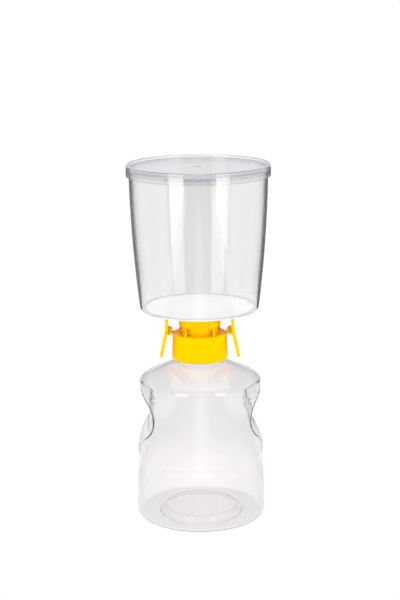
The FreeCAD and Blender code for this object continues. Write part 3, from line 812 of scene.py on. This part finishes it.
def settle(piece: bpy.types.Object) -> bpy.types.Object:
    """Replaces a piece's mesh with its evaluated one and removes its modifiers.

    Args:
        piece: the piece.

    Returns:
        The same piece.
    """
    graph = bpy.context.evaluated_depsgraph_get()
    mesh = bpy.data.meshes.new_from_object(piece.evaluated_get(graph))
    mesh.name = piece.name
    piece.modifiers.clear()
    piece.data = mesh
    return piece


def face_outwards(mesh: bpy.types.Mesh) -> None:
    """Points every face of a closed mesh away from its inside.

    Args:
        mesh: the closed mesh.
    """
    shell = bmesh.new()
    shell.from_mesh(mesh)
    bmesh.ops.recalc_face_normals(shell, faces=shell.faces)
    if shell.calc_volume(signed=True) < 0.0:
        bmesh.ops.reverse_faces(shell, faces=shell.faces)
    shell.to_mesh(mesh)
    shell.free()


def polish(piece: bpy.types.Object, crease_deg: float = 40.0) -> None:
    """Turns a closed piece's faces outwards and shades it smooth, with its broad faces kept flat.

    Args:
        piece: the piece.
        crease_deg: angle past which an edge stays sharp.
    """
    face_outwards(piece.data)
    piece.data.polygons.foreach_set("use_smooth", [True] * len(piece.data.polygons))
    piece.data.set_sharp_from_angle(angle=math.radians(crease_deg))
    weigh = piece.modifiers.new("broad_faces", "WEIGHTED_NORMAL")
    weigh.mode = "FACE_AREA"
    weigh.keep_sharp = True
    settle(piece)


def hang(piece: bpy.types.Object, node: str, body: Body) -> bpy.types.Object:
    """Puts a piece in a CAD node's stead and hangs it on its body.

    Args:
        piece: the piece.
        node: the CAD node's name.
        body: the body it rides on.

    Returns:
        The same piece.
    """
    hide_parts(node)
    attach(piece, body.value)
    return piece


# ---------------------------------------------------------------- sub-assemblies
class TurnedPiece:
    """Clear piece that is turned from a section and takes its CAD node's place."""

    node: ClassVar[str]
    body: ClassVar[Body]
    segments: int

    def section(self) -> list[Point]:
        """Closed outline of the wall."""
        raise NotImplementedError

    def shape(self, mesh: bpy.types.Mesh) -> None:
        """Changes the turned wall where the piece isn't round, which most are all over."""

    def build(self, tree: TurningTree, material: bpy.types.Material) -> bpy.types.Object:
        """Turns and shapes the piece and hangs it on its body.

        Args:
            tree: the tree that turns sections.
            material: the piece's finish.

        Returns:
            The piece.
        """
        piece = tree.turn(self.node + "_shell", self.section(), self.segments, material)
        self.shape(piece.data)
        polish(piece)
        return hang(piece, self.node, self.body)


@dataclass
class Funnel(TurnedPiece):
    """Clear tapered funnel."""

    node = "funnel"
    body = Body.FUNNEL
    wall: float = 1.6 * MM
    rim_radius: float = 59.8 * MM
    foot_radius: float = 51.9 * MM
    bow: float = 1.6 * MM
    corner: float = 2.4 * MM
    floor_bore: float = 45.6 * MM
    recess_radius: float = 48.0 * MM
    recess_depth: float = 1.2 * MM
    edge: float = 0.35 * MM
    lip_edge: float = 0.06 * MM
    lip_press: float = 0.02 * MM
    lip_slope: float = 2.0 * MM
    side_steps: int = 40
    corner_steps: int = 8
    edge_steps: int = 3
    segments: int = 256

    def section(self) -> list[Point]:
        """Outline of the wall, up the outside and down the inside.

        Returns:
            The points of the outline.
        """
        low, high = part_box(self.node)
        foot, rim = low.z, high.z
        centre = (self.foot_radius - self.corner, foot + self.corner)
        outer = bowed((self.foot_radius, centre[1]), (self.rim_radius, rim - self.edge), self.bow,
                      self.side_steps)
        inner = bowed((self.foot_radius - self.wall, centre[1]),
                      (self.rim_radius - self.wall, rim - self.edge), self.bow, self.side_steps)
        ceiling = foot + self.recess_depth - self.lip_press
        section = Section()
        section.through(arc_points(centre, self.corner, -math.pi / 2.0, 0.0,
                                   self.corner_steps)[:-1])
        section.through(outer)
        section.through(arc_points((self.rim_radius - self.edge, rim - self.edge), self.edge, 0.0,
                                   math.pi / 2.0, self.edge_steps)[1:])
        section.through(arc_points((self.rim_radius - self.wall + self.edge, rim - self.edge),
                                   self.edge, math.pi / 2.0, math.pi, self.edge_steps))
        section.through(inner[::-1][1:-1])
        section.through(arc_points(centre, self.corner - self.wall, 0.0, -math.pi / 2.0,
                                   self.corner_steps))
        section.to(self.recess_radius + self.lip_slope, foot + self.wall)
        section.to(self.floor_bore, ceiling + self.lip_edge)
        section.to(self.floor_bore, ceiling)
        section.to(self.recess_radius, ceiling, self.lip_edge)
        section.to(self.recess_radius, foot, self.lip_edge)
        return section.points()


@dataclass
class Lid(TurnedPiece):
    """Clear flat lid with a raised rim, a skirt and a centring ring."""

    node = "lid"
    body = Body.FUNNEL
    wall: float = 1.5 * MM
    rim_height: float = 2.4 * MM
    rim_width: float = 2.2 * MM
    edge: float = 1.0 * MM
    small_edge: float = 0.3 * MM
    ring_outer: float = 58.1 * MM
    ring_wall: float = 1.2 * MM
    ring_depth: float = 3.0 * MM
    gate_radius: float = 2.4 * MM
    gate_height: float = 0.4 * MM
    dimple_radius: float = 0.9 * MM
    dimple_depth: float = 0.25 * MM
    segments: int = 256

    def section(self) -> list[Point]:
        """Outline from the gate mark at the centre, round the rim and back under the lid.

        Returns:
            The points of the outline.
        """
        low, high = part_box(self.node)
        radius, top, foot = high.x, high.z, low.z
        flat = top - self.rim_height
        under = flat - self.wall
        rim_inner = radius - self.rim_width
        ring_inner = self.ring_outer - self.ring_wall
        small = self.small_edge
        section = Section()
        section.to(0.0, flat + self.gate_height - self.dimple_depth)
        section.to(self.dimple_radius, flat + self.gate_height, small)
        section.to(self.gate_radius, flat + self.gate_height, small / 2.0)
        section.to(self.gate_radius, flat, small / 2.0)
        section.to(rim_inner, flat, small)
        section.to(rim_inner, top, small)
        section.to(radius, top, self.edge)
        section.to(radius, foot, small)
        section.to(radius - self.wall, foot, small)
        section.to(radius - self.wall, under, small)
        section.to(self.ring_outer, under, small)
        section.to(self.ring_outer, under - self.ring_depth, small)
        section.to(ring_inner, under - self.ring_depth, small)
        section.to(ring_inner, under, small)
        section.to(0.0, under)
        return section.points()


@dataclass
class Bottle(TurnedPiece):
    """Clear blown bottle with a threaded neck, a push-up base and two finger grips."""

    node = "bottle"
    body = Body.BOTTLE
    wall: float = 1.5 * MM
    foot_radius: float = 56.8 * MM
    shoulder_radius: float = 53.0 * MM
    body_height: float = 121.3 * MM
    bow: float = 0.9 * MM
    foot_fillet: float = 4.0 * MM
    shoulder_fillet: float = 6.0 * MM
    shoulder_slope: float = math.radians(25.5)
    push_up_height: float = 5.5 * MM
    push_up_foot: float = 35.5 * MM
    push_up_top: float = 31.5 * MM
    push_up_rounding: float = 1.2 * MM
    neck_radius: float = 20.9 * MM
    neck_bore: float = 18.4 * MM
    neck_height: float = 21.34 * MM
    rim_edge: float = 0.5 * MM
    turn: float = math.radians(2.5)
    grip_depth: float = 10.4 * MM
    grip_radius: float = 24.0 * MM
    grip_top_gap: float = 3.8 * MM
    grip_valley_drop: float = 24.0 * MM
    grip_length: float = 60.5 * MM
    grip_overrun: float = 0.3 * MM
    grip_rounding: float = 0.7 * MM
    gather_column: float = math.radians(37.5)
    gather_least: float = math.radians(20.0)
    gather_width: float = math.radians(12.0)
    gather_share: float = 0.15
    thread_height: float = 1.3 * MM
    thread_pitch: float = 4.0 * MM
    thread_crest: float = 0.9 * MM
    thread_flank: float = 0.8 * MM
    thread_low: float = 5.0 * MM
    thread_high: float = 3.4 * MM
    thread_near: float = 0.2 * MM
    thread_fade: float = 0.8 * MM
    row: float = 1.25 * MM
    thread_row: float = 0.4 * MM
    corner_steps: int = 8
    base_steps: int = 5
    edge_steps: int = 3
    segments: int = 240

    def side(self, inset: float) -> list[Point]:
        """Bowed side from the foot's fillet to the shoulder's fillet.

        Args:
            inset: distance inside the outer face.

        Returns:
            The points.
        """
        steps = round((self.body_height - self.foot_fillet) / self.row)
        return bowed((self.foot_radius - inset, self.foot_fillet),
                     (self.shoulder_radius - inset, self.body_height), self.bow, steps)

    def wall_line(self, inset: float, neck_radius: float, neck_top: float) -> list[Point]:
        """Points up one face of the wall, from the base's centre to the top of the neck.

        Args:
            inset: distance inside the outer face.
            neck_radius: radius of this face at the neck.
            neck_top: height where the face ends.

        Returns:
            The points.
        """
        foot_fillet = self.foot_fillet - inset
        shoulder_fillet = self.shoulder_fillet - inset
        foot_centre = (self.foot_radius - inset - foot_fillet, self.foot_fillet)
        shoulder_centre = (self.shoulder_radius - inset - shoulder_fillet, self.body_height)
        slope = math.tan(self.shoulder_slope)
        turn_end = math.pi / 2.0 - self.shoulder_slope
        shoulder = arc_points(shoulder_centre, shoulder_fillet, 0.0, turn_end, self.corner_steps)
        cone_foot = shoulder[-1]
        neck_foot = (neck_radius, cone_foot[1] + (cone_foot[0] - neck_radius) * slope)
        base = Section(steps=self.base_steps)
        base.to(0.0, self.push_up_height + inset)
        base.to(self.push_up_top, self.push_up_height + inset, self.push_up_rounding)
        base.to(self.push_up_foot + inset, inset, self.push_up_rounding)
        base.to(foot_centre[0], inset)
        base.to(foot_centre[0], inset + foot_fillet)
        line = base.points()[:-1]
        line += arc_points(foot_centre, foot_fillet, -math.pi / 2.0, 0.0, self.corner_steps)[1:-1]
        line += self.side(inset) + shoulder[1:]
        line += self.spaced(cone_foot, neck_foot, 2.0 * self.row)[1:]
        return line + self.spaced(neck_foot, (neck_radius, neck_top), self.thread_row)[1:]

    def spaced(self, first: Point, last: Point, step: float) -> list[Point]:
        """Evenly spaced points on a straight line, both ends included.

        Args:
            first: first point.
            last: last point.
            step: distance that the points keep at most, roughly.

        Returns:
            The points.
        """
        length = math.dist(first, last)
        count = max(1, round(length / step))
        return [(first[0] + (last[0] - first[0]) * k / count,
                 first[1] + (last[1] - first[1]) * k / count) for k in range(count + 1)]

    def section(self) -> list[Point]:
        """Closed outline: outside up, round the rim and inside down.

        Returns:
            The points of the outline.
        """
        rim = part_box(self.node)[1].z
        outside = self.wall_line(0.0, self.neck_radius, rim - self.rim_edge)
        inside = self.wall_line(self.wall, self.neck_bore, rim - self.rim_edge)
        edge = self.rim_edge
        lip = arc_points((self.neck_radius - edge, rim - edge), edge, 0.0, math.pi / 2.0,
                         self.edge_steps)[1:]
        lip += arc_points((self.neck_bore + edge, rim - edge), edge, math.pi / 2.0, math.pi,
                          self.edge_steps)[:-1]
        return outside + lip + inside[::-1]

    def side_radius(self, height: float | np.ndarray) -> float | np.ndarray:
        """Outside radius of the bowed side at a height.

        Args:
            height: one height or many.

        Returns:
            The radius at each.
        """
        share = (height - self.foot_fillet) / (self.body_height - self.foot_fillet)
        straight = self.foot_radius + (self.shoulder_radius - self.foot_radius) * share
        return straight + 4.0 * self.bow * share * (1.0 - share)

    def grip_line(self, heights: np.ndarray, inset: np.ndarray) -> np.ndarray:
        """Distance of the grip's surface from the bottle's middle plane at each height.

        Args:
            heights: the heights.
            inset: distance inside the outer face at each.

        Returns:
            The distances, infinite where there is no grip.
        """
        high = self.body_height - self.grip_top_gap
        low = high - self.grip_length
        valley_z = high - self.grip_valley_drop
        valley_x = self.shoulder_radius - self.grip_depth
        found = np.full(heights.shape, np.inf)
        for end_z in (low, high):
            end_x = self.side_radius(end_z) + self.grip_overrun
            depth = end_x - valley_x
            rise = abs(valley_z - end_z)
            both = (depth ** 2 + rise ** 2) / (2.0 * depth)
            shoulder = both - self.grip_radius
            turning_z = end_z + (valley_z - end_z) * shoulder / both
            near_end = np.abs(heights - end_z) <= abs(turning_z - end_z)
            in_reach = (heights - end_z) * (valley_z - end_z) >= 0.0
            crest = np.sqrt(np.maximum((shoulder - inset) ** 2 - (heights - end_z) ** 2, 0.0))
            found = np.where(near_end & in_reach, end_x - shoulder + crest, found)
        in_valley = np.isinf(found) & (heights > low) & (heights < high)
        radius = self.grip_radius + inset
        dip = np.sqrt(np.maximum(radius ** 2 - (heights - valley_z) ** 2, 0.0))
        return np.where(in_valley, valley_x + self.grip_radius - dip, found)

    def shape(self, mesh: bpy.types.Mesh) -> None:
        """Presses the grips into the turned wall, raises the thread and turns the bottle.

        Args:
            mesh: the turned wall.
        """
        points = np.empty(len(mesh.vertices) * 3)
        mesh.vertices.foreach_get("co", points)
        points = points.reshape(-1, 3)
        radius = np.hypot(points[:, 0], points[:, 1])
        angle = np.arctan2(points[:, 1], points[:, 0])
        height = points[:, 2]
        outside = self.side_radius(np.clip(height, self.foot_fillet, self.body_height))
        inset = np.where(radius < outside - self.wall / 2.0, self.wall, 0.0)
        on_side = (height > self.foot_fillet) & (height < self.body_height) \
            & (radius > self.shoulder_radius - 2.0 * self.wall)
        flat = np.where(on_side, self.grip_line(height, inset), np.inf)
        angle = self.gather(angle, np.arccos(np.clip(flat / radius, 0.0, 1.0)))
        across = np.maximum(np.abs(np.cos(angle)), 1e-6)
        limit = flat / across
        rounding = self.grip_rounding
        overlap = np.clip(0.5 + 0.5 * (limit - radius) / rounding, 0.0, 1.0)
        finite = np.where(np.isinf(limit), radius + rounding, limit)
        pressed = finite * (1.0 - overlap) + radius * overlap \
            - rounding * overlap * (1.0 - overlap)
        radius = np.where(on_side & (finite < radius + rounding), pressed, radius)
        radius = radius + self.thread(radius, angle, height)
        points[:, 0] = radius * np.cos(angle + self.turn)
        points[:, 1] = radius * np.sin(angle + self.turn)
        mesh.vertices.foreach_set("co", points.ravel())
        mesh.update()

    def gather(self, angle: np.ndarray, corner: np.ndarray) -> np.ndarray:
        """Moves the wall's columns so that one of them runs down each corner of the grips.

        Args:
            angle: angle of each point about the bottle's axis.
            corner: angle from the middle of the grip to its corner there, zero above and below.

        Returns:
            The new angles, closest together at the corners.
        """
        quarter = math.pi / 2.0
        folded = np.arctan2(np.abs(np.sin(angle)), np.abs(np.cos(angle)))
        reach = np.maximum(corner, self.gather_least)
        inner = folded * reach / self.gather_column
        outer_share = (folded - self.gather_column) / (quarter - self.gather_column)
        outer = reach + (quarter - reach) * outer_share
        moved = np.where(folded < self.gather_column, inner, outer)
        away = moved - reach
        near = np.minimum(np.abs(away) / self.gather_width, 1.0)
        moved = reach + away * (self.gather_share + (1.0 - self.gather_share) * near ** 2)
        part = np.clip(corner / self.gather_least, 0.0, 1.0)
        part = part ** 2 * (3.0 - 2.0 * part)
        moved = folded + (moved - folded) * part
        half = np.where(np.cos(angle) < 0.0, math.pi - moved, moved)
        return np.where(np.sin(angle) < 0.0, -half, half)

    def thread(self, radius: np.ndarray, angle: np.ndarray, height: np.ndarray) -> np.ndarray:
        """Height of the neck's thread at each point.

        Args:
            radius: distance of each point from the axis.
            angle: its angle about the axis.
            height: its height.

        Returns:
            How far the thread stands out there.
        """
        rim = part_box(self.node)[1].z
        cone_top = rim - self.neck_height
        on_neck = (np.abs(radius - self.neck_radius) < self.thread_near) & (height > cone_top)
        low, high = cone_top + self.thread_low, rim - self.thread_high
        lead = self.thread_pitch * angle / (2.0 * math.pi)
        phase = (height - lead) / self.thread_pitch
        offset = np.abs(phase - np.round(phase)) * self.thread_pitch
        flank_foot = self.thread_crest / 2.0 + self.thread_flank
        crest = np.clip((flank_foot - offset) / self.thread_flank, 0.0, 1.0)
        middle = np.round(phase) * self.thread_pitch + lead
        fade = np.clip((middle - low) / self.thread_fade, 0.0, 1.0) \
            * np.clip((high - middle) / self.thread_fade, 0.0, 1.0)
        return np.where(on_neck, self.thread_height * crest * fade, 0.0)


# ---------------------------------------------------------------- studio
@dataclass
class Camera:
    """Camera at the viewing angle, described by its place, pitch, roll and lens."""

    place: tuple[float, float, float] = (0.0, -1.2292, 0.4857)
    pitch: float = math.radians(13.345)
    roll: float = math.radians(0.517)
    lens_mm: float = 86.83
    sensor_mm: float = 36.0
    shift_x: float = 0.0009
    clip_start: float = 0.01

    def build(self) -> None:
        """Adds the camera to the scene."""
        data = bpy.data.cameras.new("camera")
        data.sensor_fit = "AUTO"
        data.sensor_width = self.sensor_mm
        data.lens = self.lens_mm
        data.shift_x = self.shift_x
        data.clip_start = self.clip_start
        camera = bpy.data.objects.new("camera", data)
        camera.location = self.place
        tilt = Matrix.Rotation(math.pi / 2.0 - self.pitch, 3, "X")
        camera.rotation_euler = (tilt @ Matrix.Rotation(-self.roll, 3, "Z")).to_euler()
        bpy.context.scene.collection.objects.link(camera)
        bpy.context.scene.camera = camera


@dataclass
class Panel:
    """Tall lit panel of the room, between two directions from the object in degrees from -Y."""

    first: float
    last: float
    top: float = 35.0
    side_fade: float = 3.0
    top_fade: float = 8.0


@dataclass
class Lamp:
    """Soft square lamp that lights the object and isn't mirrored in it."""

    name: str
    spot: tuple[float, float, float]
    size: float
    share: float = 1.0


@dataclass
class Studio:
    """White table before a white screen, in a dim room with two lit panels and soft lamps."""

    table_side: float = 0.6
    table_front: float = 1.6
    table_fade: float = 0.8
    table_back: float = 0.52
    table_drop: float = 0.2 * MM
    table_colour: Colour = (0.9, 0.9, 0.9)
    table_dim_level: float = 0.3
    table_dim_near: float = 0.16
    table_dim_far: tuple[float, float] = (0.4, 0.48)
    table_dim_back: tuple[float, float] = (0.06, 0.14)
    shade_share: float = 0.3
    shade_radius: float = 0.08
    clear_radius: float = 0.24
    fill: float = 1.25
    lamp_power: float = 5.5
    lamp_aim: tuple[float, float, float] = (0.0, 0.0, 0.15)
    lamps: tuple[Lamp, ...] = (Lamp("lamp_left", (-0.9, -1.0, 0.5), 0.9),
                               Lamp("lamp_right", (0.9, -1.0, 0.5), 0.9),
                               Lamp("lamp_top", (0.0, 0.1, 1.6), 1.4, 2.6))
    panels: tuple[Panel, ...] = (Panel(-48.0, -25.0), Panel(30.0, 50.0))
    panel_level: float = 2.1
    front_level: float = 0.03
    side_level: float = 0.85
    side_edge: Span = (50.0, 58.0)
    left_rear_level: float = 0.06
    right_rear_level: float = 0.0
    rear_edge: Span = (128.0, 146.0)
    rear_split: float = 0.01
    screen_level: float = 1.0
    screen_first: Span = (172.0, 148.0)
    screen_widens: Span = (-8.5, -6.5)
    screen_fade: float = 2.0
    high_from: Span = (0.0, 8.0)
    high_screen_edge: Span = (168.0, 174.0)
    high_side_level: float = 0.5
    high_screen_level: float = 0.85

    def sweep(self, nodes: Nodes, angle: object, span: Span, start: float = 0.0,
              end: float = 1.0) -> bpy.types.NodeSocket:
        """Smooth step of a direction over a span in degrees."""
        return nodes.ramp(angle, math.radians(span[0]), math.radians(span[1]), start, end)

    def room(self, nodes: Nodes) -> bpy.types.NodeSocket:
        """Brightness of the room in each direction, for reflections.

        Args:
            nodes: the tree's helper.

        Returns:
            The brightness.
        """
        toward = nodes.add("ShaderNodeTexCoord").outputs["Generated"]
        x, y, z = nodes.add("ShaderNodeSeparateXYZ", i0=toward).outputs
        azimuth = nodes.math("ARCTAN2", x, nodes.math("MULTIPLY", y, -1.0))
        aside = nodes.math("ABSOLUTE", azimuth)
        height = nodes.math("ARCSINE", z)
        level = self.sweep(nodes, aside, self.side_edge, self.front_level, self.side_level)
        rear_level = nodes.ramp(x, -self.rear_split, self.rear_split, self.left_rear_level,
                                self.right_rear_level)
        level = nodes.between(self.sweep(nodes, aside, self.rear_edge), level, rear_level)
        first = self.sweep(nodes, height, self.screen_widens,
                           *(math.radians(angle) for angle in self.screen_first))
        behind = nodes.ramp(aside, first,
                            nodes.math("ADD", first, math.radians(self.screen_fade)))
        level = nodes.between(behind, level, self.screen_level)
        above = self.sweep(nodes, aside, self.high_screen_edge, self.high_side_level,
                           self.high_screen_level)
        level = nodes.between(self.sweep(nodes, height, self.high_from), level, above)
        for panel in self.panels:
            rise = self.sweep(nodes, azimuth, (panel.first - panel.side_fade, panel.first))
            fall = self.sweep(nodes, azimuth, (panel.last, panel.last + panel.side_fade), 1.0, 0.0)
            tall = self.sweep(nodes, height, (panel.top, panel.top + panel.top_fade), 1.0, 0.0)
            lit = nodes.math("MULTIPLY", nodes.math("MULTIPLY", rise, fall), tall)
            level = nodes.between(lit, level, self.panel_level)
        return level

    def looked_at(self, nodes: Nodes,
                  light: bpy.types.Node) -> tuple[bpy.types.NodeSocket, bpy.types.NodeSocket]:
        """Tells the rays that see the studio from those that light matt surfaces.

        Args:
            nodes: the tree's helper.
            light: the tree's Light Path node.

        Returns:
            One on the rays that see the studio, and one on those mirrored before.
        """
        seen = nodes.math("MAXIMUM", light.outputs["Is Camera Ray"],
                          nodes.math("MAXIMUM", light.outputs["Is Transmission Ray"],
                                     light.outputs["Is Glossy Ray"]))
        return seen, nodes.math("MINIMUM", light.outputs["Glossy Depth"], 1.0)

    def world(self) -> None:
        """Even light on matt surfaces, white behind the object, and the room in its reflections."""
        world = bpy.data.worlds.new("studio")
        bpy.context.scene.world = world
        world.use_nodes = True
        world.node_tree.nodes.clear()
        nodes = Nodes(world.node_tree)
        seen, mirrored = self.looked_at(nodes, nodes.add("ShaderNodeLightPath"))
        shown = nodes.between(mirrored, 1.0, self.room(nodes))
        back = nodes.add("ShaderNodeBackground", i0=rgba((1.0, 1.0, 1.0)))
        nodes.feed(back.inputs["Strength"], nodes.between(seen, self.fill, shown))
        nodes.feed(nodes.add("ShaderNodeOutputWorld").inputs["Surface"], back.outputs[0])

    def table(self) -> None:
        """White table top that keeps the object's shadow and fades into the white behind it."""
        side, front, back = self.table_side, -self.table_front, self.table_back
        mesh = bpy.data.meshes.new("studio_table")
        corners = [(-side, front, 0), (side, front, 0), (side, back, 0), (-side, back, 0)]
        mesh.from_pydata(corners, [], [(0, 1, 2, 3)])
        table = bpy.data.objects.new("studio_table", mesh)
        table.location.z = -self.table_drop
        bpy.context.scene.collection.objects.link(table)
        material = bpy.data.materials.new("table_paint")
        material.use_nodes = True
        nodes = Nodes(material.node_tree)
        shader = material.node_tree.nodes["Principled BSDF"]
        shader.inputs["Base Color"].default_value = rgba(self.table_colour)
        shader.inputs["Roughness"].default_value = 1.0
        shader.inputs["Specular IOR Level"].default_value = 0.0
        seen, mirrored = self.looked_at(nodes, nodes.add("ShaderNodeLightPath"))
        place = nodes.add("ShaderNodeTexCoord").outputs["Object"]
        far = nodes.add("ShaderNodeVectorMath", operation="LENGTH", i0=place).outputs["Value"]
        shaded = nodes.ramp(far, self.shade_radius, self.clear_radius, self.shade_share, 0.0)
        x, y, _ = nodes.add("ShaderNodeSeparateXYZ", i0=place).outputs
        aside = nodes.math("ABSOLUTE", x)
        dim = nodes.math("MULTIPLY", nodes.ramp(aside, 0.0, self.table_dim_near),
                         nodes.ramp(aside, *self.table_dim_far, 1.0, 0.0))
        dim = nodes.math("MULTIPLY", dim, nodes.ramp(y, *self.table_dim_back, 1.0, 0.0))
        glow = nodes.add("ShaderNodeEmission")
        nodes.feed(glow.inputs["Strength"],
                   nodes.between(nodes.math("MULTIPLY", dim, mirrored), 1.0, self.table_dim_level))
        lit = nodes.add("ShaderNodeMixShader", i0=shaded, i1=glow.outputs[0], i2=shader.outputs[0])
        whole = nodes.add("ShaderNodeMixShader", i0=seen, i1=shader.outputs[0], i2=lit.outputs[0])
        faded = nodes.ramp(nodes.math("MULTIPLY", y, -1.0), self.table_fade, self.table_front)
        clear = nodes.add("ShaderNodeBsdfTransparent")
        mix = nodes.add("ShaderNodeMixShader", i0=faded, i1=whole.outputs[0], i2=clear.outputs[0])
        nodes.feed(material.node_tree.nodes["Material Output"].inputs["Surface"], mix.outputs[0])
        mesh.materials.append(material)

    def hang_lamps(self) -> None:
        """Adds the lamps, aimed at the object."""
        for each in self.lamps:
            data = bpy.data.lights.new(each.name, "AREA")
            data.shape = "SQUARE"
            data.size = each.size
            data.energy = self.lamp_power * each.share
            lamp = bpy.data.objects.new(each.name, data)
            lamp.location = each.spot
            aim = Vector(self.lamp_aim) - lamp.location
            lamp.rotation_euler = aim.to_track_quat("-Z", "Y").to_euler()
            lamp.visible_glossy = False
            lamp.visible_transmission = False
            lamp.visible_camera = False
            bpy.context.scene.collection.objects.link(lamp)

    def build(self) -> None:
        """Builds the whole studio."""
        bpy.context.scene.view_settings.view_transform = "Standard"
        self.world()
        self.table()
        self.hang_lamps()


def main() -> None:
    """Builds the unit's pieces in order and the studio round them."""
    logging.basicConfig(level=logging.INFO, format="%(message)s")
    Studio().build()
    Camera().build()
    effects = SurfaceEffects()
    clear = ClearPlastic("clear_plastic_look").build(effects)
    flat_clear = LidPlastic("lid_plastic_look").build(effects)
    blown = BlownPlastic("blown_plastic_look").build(effects)
    finishes = {
        Slot.YELLOW: MouldedPlastic("yellow_plastic_look").build(effects),
        Slot.WHITE: WhitePlastic("white_plastic_look").build(effects),
        Slot.MEMBRANE: MembraneSheet("membrane_look").build(effects),
        Slot.SEAL: SealRubber("seal_rubber_look").build(effects),
        Slot.WOOL: CottonWool("cotton_wool_look").build(effects),
    }
    tree = TurningTree()
    for piece in (Funnel().build(tree, clear), Lid().build(tree, flat_clear),
                  Bottle().build(tree, blown)):
        log.info("%s: %d faces", piece.name, len(piece.data.polygons))
    for node, slot in CAD_PIECES.items():
        for material_slot in frame["nodes"][node].material_slots:
            material_slot.material = finishes[slot]
        log.info("%s: dressed as %s", node, slot.value)


if __name__ == "__main__":
    main()
